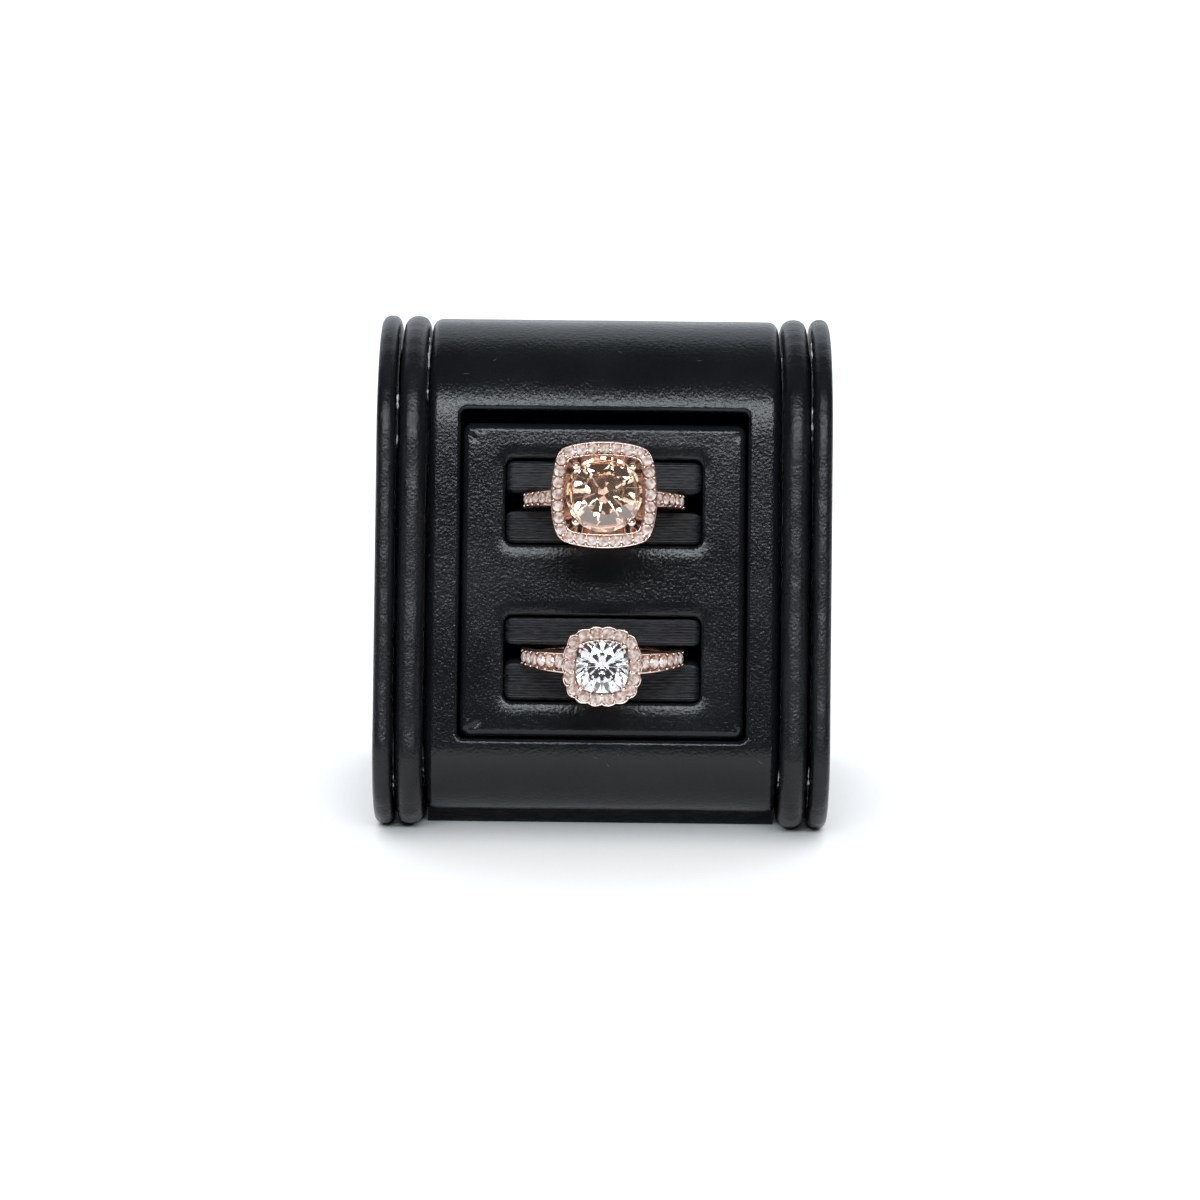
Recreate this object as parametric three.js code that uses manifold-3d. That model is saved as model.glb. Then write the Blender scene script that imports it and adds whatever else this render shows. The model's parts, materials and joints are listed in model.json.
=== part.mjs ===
// A leatherette display stand for two rings: a rolled body between double padded cheeks, a slotted
// pad set into its leaning face, and a halo ring held upright in each slot between foam lips.
// Millimetres. +Z is up, +X is to the right, the front looks towards -Y, and the origin is the
// middle of the stand's footprint on the table.
import * as THREE from 'three';
import { mergeVertices } from 'three/addons/utils/BufferGeometryUtils.js';
import { ConvexGeometry } from 'three/addons/geometries/ConvexGeometry.js';
import Module from 'manifold-3d';

const wasm = await Module();
wasm.setup();
const degrees = THREE.MathUtils.degToRad;

// ---------- Driving dimensions ----------
// Body, seen from the side: three rolls with a belt of leatherette round them.
const LEAN = degrees(15); // the face, from the vertical
const BODY_DEPTH = 45;
const TOP_ROLL_R = 13.7;
const FOOT_ROLL_R = 8.5;
const HEEL_R = 5;

// Cheeks, the padded boards glued to both ends of the body.
const CHEEK_PROUD = 2; // past the body at the face, foot, base and back
const CHEEK_TOP_PROUD = 0.4;
const CHEEK_TOP_R = 16.4;
const INNER_CHEEK_T = 3.3;
const OUTER_CHEEK_T = 2.4;
const CHEEK_ROUND = 0.45; // edge radius as a share of the cheek's own thickness
const CHEEK_WRAP_T = 0.6;
const CHEEK_HEM_W = 4; // turned over the hidden face of the board

// Layers of the body.
const WRAP_T = 0.8;
const PADDING_T = 1.2;
const WRAP_HEM_W = 6; // turned under the base, front and back

// Rings, of the same finger size.
const RING_BORE_R = 8.65;
const BAND_T = 1.6;
const RING_SINK = 1; // ring centre, below the pad's face
const RINGS = {
  upper: {
    rise: 0, // ring centre, above its slot's centre line
    tilt: 0, // head, down from square to the face
    shankW: 1.75,
    shoulderW: 2.1,
    stone: { half: 4.65, corner: 0, table: 2.6, crown: 1.4, pavilion: 4 },
    claw: { r: 0.42, tip: 0.55 },
    halo: { opening: 0.15, row: 1.7, cornerAt: 2.75, below: 0.45, count: 28 },
    shoulder: { from: 34, to: 71, count: 6 },
  },
  lower: {
    rise: 0.5,
    tilt: degrees(7.7),
    shankW: 1.8,
    shoulderW: 2.8,
    stone: { half: 3.15, corner: 2.1, table: 1.9, crown: 1, pavilion: 2.9 },
    claw: { r: 0.3, tip: 0.36 },
    halo: { opening: -0.2, row: 2.05, cornerAt: 1.6, below: 0.35, count: 18 },
    shoulder: { from: 31, to: 72, count: 6 },
  },
};
// In halo, opening is past the stone's girdle, row is the metal's width, and below is under the
// girdle. In shoulder, the angles are degrees from the head.
const HALO_PLATE_T = 1;
const ROW_TOUCH = 0.57; // small stone radius as a share of its pitch, so six-sided neighbours touch
const HALO_SETTING = 0.15; // girdles of the small stones, below the top of the metal
const GIRDLE_T = 0.24;
const GALLERY_RAIL_R = 0.35;

// Slots in the pad and the foam lips that nip the rings.
const SLOT_END_ROOM = 2.05; // past the ring, at each end of its slot
const SLOT_H = 10.8;
const SLOT_R = 1.7;
const SLOT_PITCH = 19.6;
const SLOT_LINING_DEPTH = 3;
const ROOM_UNDER_RING = 0.95;
const LIP_RECESS = 0.8; // lip fronts, below the pad's face
const LIP_ROUND = 1.3;
const LIP_REAR_ROUND = 0.8;
const LIP_FILLET_SHARE = 0.48; // most that a rounding may take of its lip's thickness
const LIP_SLEEVE_T = 0.4;

// Pad, and the recess that it sits in, lined by the wrap.
const PAD_END_BORDER = 5.35; // from a slot's end to the pad's side
const PAD_EDGE_BORDER = 4.375; // from a slot to the pad's top or foot
const PAD_SIDE_GAP = 0.6;
const PAD_FOOT_GAP = 0.35;
const PAD_TOP_GAP = 1.9;
const PAD_EDGE_R = 1;
const PAD_CORNER_R = 1.4;
const PAD_WRAP_T = 0.6;
const PAD_BOARD_T = 1.2;
const PAD_HEM_W = 3;
const RECESS_ABOVE_FOOT = 0.2;
const RECESS_INTO_ROLL = 1.2; // the recess ends past the start of the top roll
const RECESS_LINING_DEPTH = 11;
const SIDE_STRIP_W = 3.75; // body at each side of the recess

// Named clearances.
const LAYER_GAP = 0.1; // between glued layers
const GLUE_GAP = 0.3; // between the body's ends and the cheeks
const CHEEK_GAP = 0.45; // between the two cheeks of a pair
const LIP_GAP = 0.1; // lips in the lined slots
const NIP_CLEAR = 0.15; // lip to ring, each side
const STONE_GAP = 0.05; // stones in their seats
const SOLDER_GAP = 0.08; // between the soldered parts of a ring

// Sizes that follow: the slots take the rings, the pad takes the slots, and the body the pad.
const BAND_OUTER_R = RING_BORE_R + BAND_T;
const SLOT_W = 2 * (BAND_OUTER_R + SLOT_END_ROOM);
const SLOT_DEPTH = RING_SINK + BAND_OUTER_R + ROOM_UNDER_RING;
const PAD_W = SLOT_W + 2 * PAD_END_BORDER;
const PAD_H = SLOT_PITCH + SLOT_H + 2 * PAD_EDGE_BORDER;
const PAD_DEPTH = SLOT_DEPTH + LAYER_GAP + PAD_BOARD_T + LAYER_GAP + PAD_WRAP_T;
const RECESS_W = PAD_W + 2 * PAD_SIDE_GAP;
const RECESS_H = PAD_H + PAD_FOOT_GAP + PAD_TOP_GAP;
const BODY_WIDTH = RECESS_W + 2 * SIDE_STRIP_W;
const FACE_LENGTH = RECESS_ABOVE_FOOT + RECESS_H - RECESS_INTO_ROLL; // between the two rolls

// Facet sizes.
const ARC_STEP = degrees(10);
const SMALL_ARC_STEP = degrees(22.5);
const BEVEL_SEGMENTS = 2;
const BAND_SEGMENTS = 40;
const CLAW_SIDES = 6;

// ---------- Finishes ----------
const FINISHES = {
  leatherette: { color: 0x17191d, roughness: 0.5, metalness: 0 },
  ribbed_fabric: { color: 0x2a2c2f, roughness: 0.9, metalness: 0 },
  foam: { color: 0x2b2b2d, roughness: 0.95, metalness: 0 },
  fibreboard: { color: 0x8a6a48, roughness: 0.85, metalness: 0 },
  felt: { color: 0x121214, roughness: 0.95, metalness: 0 },
  rose_gold: { color: 0xe7b296, roughness: 0.15, metalness: 1 },
  champagne_stone: { color: 0xc9a271, roughness: 0.03, metalness: 0 },
  clear_stone: { color: 0xf2f4f8, roughness: 0.03, metalness: 0 },
};

// ---------- Solids ----------
// A closed three.js geometry as a solid that can be joined and cut.
function solid(geometry) {
  const bare = geometry.clone();
  bare.deleteAttribute('normal');
  bare.deleteAttribute('uv');
  const merged = mergeVertices(bare, 1e-5);
  return new wasm.Manifold(
    new wasm.Mesh({
      numProp: 3,
      vertProperties: merged.attributes.position.array,
      triVerts: new Uint32Array(merged.index.array),
    }),
  );
}

function geometryOf(shape) {
  const mesh = shape.getMesh();
  const geometry = new THREE.BufferGeometry();
  geometry.setAttribute('position', new THREE.BufferAttribute(mesh.vertProperties, 3));
  geometry.setIndex(new THREE.BufferAttribute(mesh.triVerts, 1));
  geometry.computeVertexNormals();
  return geometry;
}

function joined(geometries) {
  return geometries.map(solid).reduce((whole, next) => whole.add(next));
}

function cut(from, ...tools) {
  return geometryOf(tools.map(solid).reduce((rest, tool) => rest.subtract(tool), solid(from)));
}

function part(name, geometry, finish) {
  const mesh = new THREE.Mesh(geometry, new THREE.MeshStandardMaterial(FINISHES[finish]));
  mesh.name = name;
  return mesh;
}

function box(x, y, z) {
  return new THREE.BoxGeometry(x[1] - x[0], y[1] - y[0], z[1] - z[0]).translate(
    (x[0] + x[1]) / 2,
    (y[0] + y[1]) / 2,
    (z[0] + z[1]) / 2,
  );
}

// ---------- Outlines ----------
// Angle of the outward normal where a belt leaves circle a for circle b, counter-clockwise.
function beltAngle(a, b) {
  const run = Math.hypot(b.x - a.x, b.y - a.y);
  return Math.atan2(b.y - a.y, b.x - a.x) - Math.acos((a.r - b.r) / run);
}

// The outline of a belt stretched round circles { x, y, r } taken counter-clockwise.
function beltOutline(circles, step = ARC_STEP) {
  return circles.flatMap((circle, i) => {
    const before = circles.at(i - 1);
    const after = circles[(i + 1) % circles.length];
    const from = beltAngle(before, circle);
    const turn = THREE.MathUtils.euclideanModulo(beltAngle(circle, after) - from, 2 * Math.PI);
    const steps = Math.max(1, Math.ceil(turn / step));
    return Array.from({ length: steps + 1 }, (_, k) => {
      const angle = from + (turn * k) / steps;
      return new THREE.Vector2(
        circle.x + circle.r * Math.cos(angle),
        circle.y + circle.r * Math.sin(angle),
      );
    });
  });
}

// A rectangle w by h with corner radius r, about (0, y).
function roundedRectangle(w, h, r, y = 0) {
  const corners = [[1, -1], [1, 1], [-1, 1], [-1, -1]];
  const circles = corners.map(([sx, sy]) => ({ x: sx * (w / 2 - r), y: y + sy * (h / 2 - r), r }));
  return beltOutline(circles, SMALL_ARC_STEP);
}

// A square with its corner arcs centred cornerAt from its middle lines.
function cushion(half, cornerAt, step = ARC_STEP) {
  const corners = [[1, -1], [1, 1], [-1, 1], [-1, -1]];
  const circles = corners.map(([sx, sy]) => ({
    x: sx * cornerAt,
    y: sy * cornerAt,
    r: half - cornerAt,
  }));
  return beltOutline(circles, step);
}

function extrude(outline, depth, options = {}) {
  const shape = new THREE.Shape(outline);
  return new THREE.ExtrudeGeometry(shape, { depth, bevelEnabled: false, ...options });
}

// An outline drawn as (y, z), carried from x0 to x1.
function alongX(outline, x0, x1) {
  return extrude(outline, x1 - x0).rotateX(Math.PI / 2).rotateZ(Math.PI / 2).translate(x0, 0, 0);
}

// ---------- Side profiles, as (y, z) ----------
const outward = new THREE.Vector2(-Math.cos(LEAN), Math.sin(LEAN));
const upFace = new THREE.Vector2(Math.sin(LEAN), Math.cos(LEAN));
const footCentre = new THREE.Vector2(FOOT_ROLL_R - BODY_DEPTH / 2, FOOT_ROLL_R + CHEEK_PROUD);
const heelCentre = new THREE.Vector2(BODY_DEPTH / 2 - HEEL_R, HEEL_R + CHEEK_PROUD);
const faceFoot = footCentre.clone().addScaledVector(outward, FOOT_ROLL_R);
const faceHead = faceFoot.clone().addScaledVector(upFace, FACE_LENGTH);
const topCentre = faceHead.clone().addScaledVector(outward, -TOP_ROLL_R);
const cheekTopCentre = faceHead
  .clone()
  .addScaledVector(outward, CHEEK_PROUD - CHEEK_TOP_R)
  .addScaledVector(upFace, TOP_ROLL_R + CHEEK_TOP_PROUD - CHEEK_TOP_R);

function sideProfile(top, topR, grow) {
  return beltOutline([
    { x: footCentre.x, y: footCentre.y, r: FOOT_ROLL_R + grow },
    { x: heelCentre.x, y: heelCentre.y, r: HEEL_R + grow },
    { x: top.x, y: top.y, r: topR },
  ]);
}

const bodyProfile = (inset) => sideProfile(topCentre, TOP_ROLL_R - inset, -inset);
const cheekProfile = (inset) =>
  sideProfile(cheekTopCentre, CHEEK_TOP_R - inset, CHEEK_PROUD - inset);

// ---------- The leaning face: x across, y up the face, z out of it ----------
const face = new THREE.Group();
face.position.set(0, faceFoot.x, faceFoot.y);
face.rotation.x = Math.PI / 2 - LEAN;
face.updateMatrixWorld(true);
const onFace = (geometry) => geometry.applyMatrix4(face.matrixWorld);

// The recess as a block, grown sideways by grow, from depth below the face to well above it.
function recessBlock(grow, depth) {
  return onFace(
    box(
      [-RECESS_W / 2 - grow, RECESS_W / 2 + grow],
      [RECESS_ABOVE_FOOT - grow, RECESS_ABOVE_FOOT + RECESS_H + grow],
      [-depth, TOP_ROLL_R],
    ),
  );
}

// ---------- Body ----------
const PADDING_INSET = WRAP_T + LAYER_GAP;
const CORE_INSET = PADDING_INSET + PADDING_T + LAYER_GAP;
const POCKET_GROW = WRAP_T + LAYER_GAP;

function bodySlab(inset, endGap) {
  return alongX(bodyProfile(inset), endGap - BODY_WIDTH / 2, BODY_WIDTH / 2 - endGap);
}

// A block under the base, from the foot roll to the heel, each brought in by hem.
function underBase(hem, top) {
  return box(
    [-BODY_WIDTH, BODY_WIDTH],
    [footCentre.x + hem, heelCentre.x - hem],
    [-CHEEK_PROUD, top],
  );
}

function coreBlock() {
  return cut(bodySlab(CORE_INSET, LAYER_GAP), recessBlock(POCKET_GROW, PAD_DEPTH + LAYER_GAP));
}

function bodyPadding() {
  return cut(
    bodySlab(PADDING_INSET, LAYER_GAP),
    alongX(bodyProfile(CORE_INSET - LAYER_GAP), -BODY_WIDTH, BODY_WIDTH),
    recessBlock(POCKET_GROW, RECESS_LINING_DEPTH),
    underBase(0, CHEEK_PROUD + CORE_INSET),
  );
}

// The wrap goes round the body, in at the recess as its lining, and under the base as a hem.
function bodyWrap() {
  const skin = solid(bodySlab(0, 0)).subtract(
    solid(alongX(bodyProfile(WRAP_T), -BODY_WIDTH, BODY_WIDTH)),
  );
  const lining = solid(recessBlock(WRAP_T, RECESS_LINING_DEPTH)).intersect(solid(bodySlab(0, 0)));
  const hemWindow = solid(underBase(WRAP_HEM_W, CHEEK_PROUD + CORE_INSET));
  const recess = solid(recessBlock(0, PAD_DEPTH));
  return geometryOf(skin.add(lining).subtract(hemWindow).subtract(recess));
}

function baseFelt() {
  return box(
    [LAYER_GAP - BODY_WIDTH / 2, BODY_WIDTH / 2 - LAYER_GAP],
    [footCentre.x, heelCentre.x],
    [0, CHEEK_PROUD - LAYER_GAP],
  );
}

const display = new THREE.Group();
display.add(part('core_block', coreBlock(), 'fibreboard'));
display.add(part('body_padding', bodyPadding(), 'foam'));
display.add(part('body_wrap', bodyWrap(), 'leatherette'));
display.add(part('base_felt', baseFelt(), 'felt'));

// ---------- Cheeks ----------
// A board in a padded wrap with rounded edges, made with its hidden face at x = 0, facing -X.
function cheekBoard(thickness) {
  const inset = CHEEK_WRAP_T + LAYER_GAP;
  return alongX(cheekProfile(inset), inset, thickness - inset);
}

function cheekWrap(thickness) {
  const round = thickness * CHEEK_ROUND;
  const bevel = { bevelEnabled: true, bevelThickness: round, bevelSize: round };
  const options = { ...bevel, bevelOffset: -round, bevelSegments: BEVEL_SEGMENTS };
  const outer = extrude(cheekProfile(0), thickness - 2 * round, options)
    .rotateX(Math.PI / 2)
    .rotateZ(Math.PI / 2)
    .translate(round, 0, 0);
  const pocket = alongX(cheekProfile(CHEEK_WRAP_T), CHEEK_WRAP_T, thickness - CHEEK_WRAP_T);
  const window = alongX(cheekProfile(CHEEK_HEM_W), -thickness, thickness / 2);
  return cut(outer, pocket, window);
}

// The same cheek for the left side: mirrored in x, with its faces turned back outwards.
function mirrored(geometry) {
  const flipped = geometry.clone().applyMatrix4(new THREE.Matrix4().makeScale(-1, 1, 1));
  const shape = flipped.index ? flipped.toNonIndexed() : flipped;
  const corners = shape.attributes.position.array;
  for (let i = 0; i < corners.length; i += 9) {
    const first = corners.slice(i, i + 3);
    corners.copyWithin(i, i + 3, i + 6);
    corners.set(first, i + 3);
  }
  shape.deleteAttribute('normal');
  return shape;
}

const innerCheekAt = BODY_WIDTH / 2 + GLUE_GAP;
const outerCheekAt = innerCheekAt + INNER_CHEEK_T + CHEEK_GAP;
const CHEEKS = [
  { place: 'inner', at: innerCheekAt, thickness: INNER_CHEEK_T },
  { place: 'outer', at: outerCheekAt, thickness: OUTER_CHEEK_T },
];
for (const { place, at, thickness } of CHEEKS) {
  const pieces = [
    { kind: 'board', geometry: cheekBoard(thickness), finish: 'fibreboard' },
    { kind: 'wrap', geometry: cheekWrap(thickness), finish: 'leatherette' },
  ];
  for (const { kind, geometry, finish } of pieces) {
    const right = geometry.translate(at, 0, 0);
    display.add(part(`right_${place}_cheek_${kind}`, right, finish));
    display.add(part(`left_${place}_cheek_${kind}`, mirrored(right), finish));
  }
}

// ---------- Pad ----------
const PAD_CENTRE = RECESS_ABOVE_FOOT + PAD_FOOT_GAP + PAD_H / 2;
const SLOT_CENTRES = {
  upper: PAD_CENTRE + SLOT_PITCH / 2,
  lower: PAD_CENTRE - SLOT_PITCH / 2,
};
const PAD_INSET = PAD_WRAP_T + LAYER_GAP;

// A rounded block of the pad's outline, brought in by inset, between two heights.
function padBlock(inset, low, high) {
  const r = Math.max(PAD_CORNER_R - inset, 0.1);
  const outline = roundedRectangle(PAD_W - 2 * inset, PAD_H - 2 * inset, r, PAD_CENTRE);
  return extrude(outline, high - low).translate(0, 0, low);
}

function slotBlock(centre, grow, low, high) {
  const outline = roundedRectangle(SLOT_W + 2 * grow, SLOT_H + 2 * grow, SLOT_R + grow, centre);
  return extrude(outline, high - low).translate(0, 0, low);
}

function padWrap() {
  const outline = roundedRectangle(PAD_W, PAD_H, PAD_CORNER_R, PAD_CENTRE);
  const outer = extrude(outline, PAD_DEPTH - PAD_EDGE_R, {
    bevelEnabled: true,
    bevelThickness: PAD_EDGE_R,
    bevelSize: PAD_EDGE_R,
    bevelOffset: -PAD_EDGE_R,
    bevelSegments: BEVEL_SEGMENTS,
  });
  const block = solid(outer.translate(0, 0, -PAD_DEPTH)).intersect(
    solid(padBlock(0, -PAD_DEPTH, PAD_EDGE_R)),
  );
  const hollow = solid(padBlock(PAD_WRAP_T, -PAD_DEPTH + PAD_WRAP_T, -PAD_WRAP_T));
  const backWindow = solid(padBlock(PAD_HEM_W, -2 * PAD_DEPTH, -PAD_DEPTH / 2));
  let wrap = block.subtract(hollow).subtract(backWindow);
  for (const centre of Object.values(SLOT_CENTRES)) {
    const lining = solid(slotBlock(centre, PAD_WRAP_T, -SLOT_LINING_DEPTH, -PAD_WRAP_T / 2));
    const opening = solid(slotBlock(centre, 0, -PAD_DEPTH / 2, PAD_DEPTH));
    wrap = wrap.add(lining).subtract(opening);
  }
  return geometryOf(wrap);
}

function padFoam() {
  const block = padBlock(PAD_INSET + PAD_EDGE_R / 2, -SLOT_DEPTH, -PAD_INSET);
  const slots = Object.values(SLOT_CENTRES).map((centre) =>
    slotBlock(centre, PAD_WRAP_T + LAYER_GAP, -2 * PAD_DEPTH, PAD_DEPTH),
  );
  return cut(block, ...slots);
}

face.add(part('pad_wrap', padWrap(), 'leatherette'));
face.add(part('pad_foam', padFoam(), 'foam'));
const boardTop = -SLOT_DEPTH - LAYER_GAP;
const padBoard = padBlock(PAD_INSET, boardTop - PAD_BOARD_T, boardTop);
face.add(part('pad_board', padBoard, 'fibreboard'));

// ---------- Foam lips ----------
// The section of one lip as (y, z), about its slot: side is 1 above the ring and -1 below it.
// The nip follows the ring's plane, so it slants where the ring leans. inset brings the outline in
// on every side, and back moves it deeper into the slot. A thin lip limits its own rounding.
function lipOutline(ring, side, inset, back = 0) {
  const outer = SLOT_H / 2 - LIP_GAP;
  const nip = (ring.shankW / 2 + NIP_CLEAR) / Math.cos(ring.tilt);
  const nipAt = (z) => side * (ring.rise - Math.tan(ring.tilt) * (z + RING_SINK)) + nip;
  const ends = [
    { edge: -LIP_RECESS, into: -1, round: LIP_ROUND },
    { edge: -SLOT_DEPTH, into: 1, round: LIP_REAR_ROUND },
  ].map(({ edge, into, round }) => {
    const r = Math.min(round, LIP_FILLET_SHARE * (outer - nipAt(edge)));
    const z = edge + into * r;
    const circle = (y) => ({ x: side * y, y: z - back, r: r - inset });
    return [circle(nipAt(z) + r), circle(outer - r)];
  });
  const [[frontNip, frontOuter], [rearNip, rearOuter]] = ends;
  const corners = [frontNip, rearNip, rearOuter, frontOuter];
  return beltOutline(side > 0 ? corners : corners.reverse(), SMALL_ARC_STEP);
}

// The foam and the sleeve of one lip: its section carried along the slot, with the sleeve open at
// the back, and both trimmed to the slot's rounded ends.
function lipPieces(ring, side, centre) {
  const bar = (inset, back = 0) =>
    solid(alongX(lipOutline(ring, side, inset, back), -SLOT_W, SLOT_W).translate(0, centre, 0));
  const slot = solid(slotBlock(centre, -LIP_GAP, -PAD_DEPTH, PAD_DEPTH));
  const skin = bar(0).subtract(bar(LIP_SLEEVE_T)).subtract(bar(LIP_SLEEVE_T, 2 * LIP_SLEEVE_T));
  return {
    foam: geometryOf(bar(LIP_SLEEVE_T + LAYER_GAP).intersect(slot)),
    sleeve: geometryOf(skin.intersect(slot)),
  };
}

for (const [name, ring] of Object.entries(RINGS)) {
  for (const [edge, side] of [['top', 1], ['bottom', -1]]) {
    const { foam, sleeve } = lipPieces(ring, side, SLOT_CENTRES[name]);
    face.add(part(`${name}_slot_${edge}_lip_foam`, foam, 'foam'));
    face.add(part(`${name}_slot_${edge}_lip_sleeve`, sleeve, 'ribbed_fabric'));
  }
}
display.add(face);

// ---------- Rings: z out through the head, y along the finger ----------
// Height of the centre stone's girdle: its point clears the band by a solder gap.
const girdleZ = ({ stone }) => BAND_OUTER_R + 2 * SOLDER_GAP + stone.pavilion;
const haloTop = (ring) => girdleZ(ring) - ring.halo.below;
const haloOpening = ({ stone, halo }) => stone.half + halo.opening;

// Points of a cut stone: a flat table, a crown, a girdle and a pavilion down to a point at
// z = -pavilion, with the girdle's lower edge at z = 0. scale grows it about its own middle.
function cutStone(outlineOf, { table, crown, pavilion }, grow = 0) {
  const ring = (half, z) => outlineOf(half + grow).map((p) => new THREE.Vector3(p.x, p.y, z));
  return [
    ...ring(table, crown + grow),
    ...ring(0, GIRDLE_T + grow),
    ...ring(0, -grow),
    new THREE.Vector3(0, 0, -pavilion - 2 * grow),
  ];
}

function polygon(r, sides, turn = 0) {
  return Array.from({ length: sides }, (_, i) => {
    const angle = ((i + turn) / sides) * 2 * Math.PI;
    return new THREE.Vector2(r * Math.cos(angle), r * Math.sin(angle));
  });
}

// The centre stone: round where corner is 0, else a square with rounded corners.
function centreStone(ring, grow = 0) {
  const { half, corner, table } = ring.stone;
  const outlineOf = (size) => {
    const full = size < table ? half + size : size;
    return corner > 0 ? cushion(full, (corner * full) / half, SMALL_ARC_STEP) : polygon(full, 24);
  };
  const points = cutStone(outlineOf, ring.stone, grow);
  return new ConvexGeometry(points).translate(0, 0, girdleZ(ring));
}

// One small stone with six sides, a corner along x, and its girdle on the origin's plane.
function smallStone(r, grow) {
  const sizes = { table: 0.6 * r, crown: 0.3 * r + GIRDLE_T, pavilion: 0.8 * r };
  const outlineOf = (size) => polygon(size < sizes.table ? r + size : size, 6);
  return new ConvexGeometry(cutStone(outlineOf, sizes, grow));
}

// A row of stones that just touch, each placed by its own matrix.
function stoneRow({ places, pitch }, grow) {
  const stone = smallStone(pitch * ROW_TOUCH, grow);
  return joined(places.map((matrix) => stone.clone().applyMatrix4(matrix)));
}

// Evenly spaced places round the middle of the halo, x along the row and z out of the head.
function haloRow(ring) {
  const { row, cornerAt, count } = ring.halo;
  const path = new THREE.Path(cushion(haloOpening(ring) + row / 2, cornerAt)).closePath();
  const points = path.getSpacedPoints(count).slice(0, count);
  const places = points.map((p, i) => {
    const along = points[(i + 1) % count].clone().sub(points.at(i - 1));
    const turn = new THREE.Matrix4().makeRotationZ(along.angle());
    return turn.setPosition(p.x, p.y, haloTop(ring) - HALO_SETTING);
  });
  return { places, pitch: path.getLength() / count };
}

// Places along one shoulder of the band, x along the row and z straight out from the finger.
function shoulderRow({ shoulder }, side) {
  const { from, to, count } = shoulder;
  const step = degrees((to - from) / (count - 1));
  const places = Array.from({ length: count }, (_, i) => {
    const lift = new THREE.Matrix4().makeTranslation(0, 0, BAND_OUTER_R - HALO_SETTING);
    return new THREE.Matrix4().makeRotationY(side * (degrees(from) + step * i)).multiply(lift);
  });
  return { places, pitch: step * (BAND_OUTER_R - HALO_SETTING) };
}

const haloStones = (ring, grow = 0) => stoneRow(haloRow(ring), grow);
const shoulderStones = (ring, side, grow = 0) => stoneRow(shoulderRow(ring, side), grow);

// The band: a rounded section turned about the finger, widening towards the head.
function band(ring) {
  const half = ring.shankW / 2;
  const chamfer = BAND_T / 5;
  const section = [
    [RING_BORE_R, -half + chamfer],
    [RING_BORE_R + chamfer, -half],
    [BAND_OUTER_R - chamfer, -half],
    [BAND_OUTER_R, -half + chamfer],
    [BAND_OUTER_R, half - chamfer],
    [BAND_OUTER_R - chamfer, half],
    [RING_BORE_R + chamfer, half],
    [RING_BORE_R, half - chamfer],
    [RING_BORE_R, -half + chamfer],
  ].map(([r, y]) => new THREE.Vector2(r, y));
  const turned = new THREE.LatheGeometry(section, BAND_SEGMENTS);
  const at = turned.attributes.position;
  for (let i = 0; i < at.count; i += 1) {
    const towardsHead = Math.max(0, at.getZ(i) / BAND_OUTER_R);
    const widening = ring.shoulderW / ring.shankW - 1;
    at.setY(i, at.getY(i) * (1 + widening * towardsHead));
  }
  const seats = [-1, 1].map((side) => shoulderStones(ring, side, STONE_GAP));
  return geometryOf(seats.reduce((rest, row) => rest.subtract(row), solid(turned)));
}

// A round bar from a to b, with its own radius at each end.
function bar(a, b, ra, rb) {
  const length = a.distanceTo(b);
  const up = new THREE.Vector3(0, 1, 0);
  const turn = new THREE.Quaternion().setFromUnitVectors(up, b.clone().sub(a).normalize());
  return new THREE.CylinderGeometry(rb, ra, length, CLAW_SIDES)
    .applyQuaternion(turn)
    .translate(...a.clone().add(b).multiplyScalar(0.5).toArray());
}

// How far out the centre stone reaches along a diagonal, at its girdle.
function stoneCorner({ stone }) {
  return stone.corner > 0 ? stone.corner * Math.SQRT2 + stone.half - stone.corner : stone.half;
}

// Four claws that rise from the band, lean out to the stone's corners and close over them,
// tied by a rail half-way up.
function basket(ring, grow) {
  const { r, tip } = ring.claw;
  const reach = stoneCorner(ring);
  const foot = BAND_OUTER_R + SOLDER_GAP;
  const girdle = girdleZ(ring);
  const railAt = (foot + girdle) / 2;
  const diagonals = [45, 135, 225, 315].map(degrees);
  const claws = diagonals.flatMap((angle) => {
    const at = (radius, z) =>
      new THREE.Vector3(radius * Math.cos(angle), radius * Math.sin(angle), z);
    const low = at(ring.shankW * 0.55, foot);
    const shoulder = at(reach + r / 3, girdle);
    const top = at(reach + r / 3, girdle + ring.stone.crown / 2);
    return [
      bar(low, shoulder, r + grow, r + grow),
      bar(shoulder, top, r + grow, r + grow),
      new THREE.SphereGeometry(r + grow, CLAW_SIDES, 4).translate(...shoulder.toArray()),
      new THREE.SphereGeometry(tip + grow, 8, 5).translate(...top.toArray()),
    ];
  });
  const railR = (ring.shankW * 0.55 + reach) / 2;
  const rail = new THREE.TorusGeometry(railR, GALLERY_RAIL_R + grow, 5, 20).translate(0, 0, railAt);
  return joined([...claws, rail]);
}

function gallery(ring) {
  const bandRoom = new THREE.CylinderGeometry(
    BAND_OUTER_R + SOLDER_GAP,
    BAND_OUTER_R + SOLDER_GAP,
    BAND_OUTER_R,
    BAND_SEGMENTS,
  );
  return geometryOf(
    basket(ring, 0)
      .subtract(solid(centreStone(ring, STONE_GAP)))
      .subtract(haloStones(ring, STONE_GAP))
      .subtract(solid(bandRoom)),
  );
}

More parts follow.
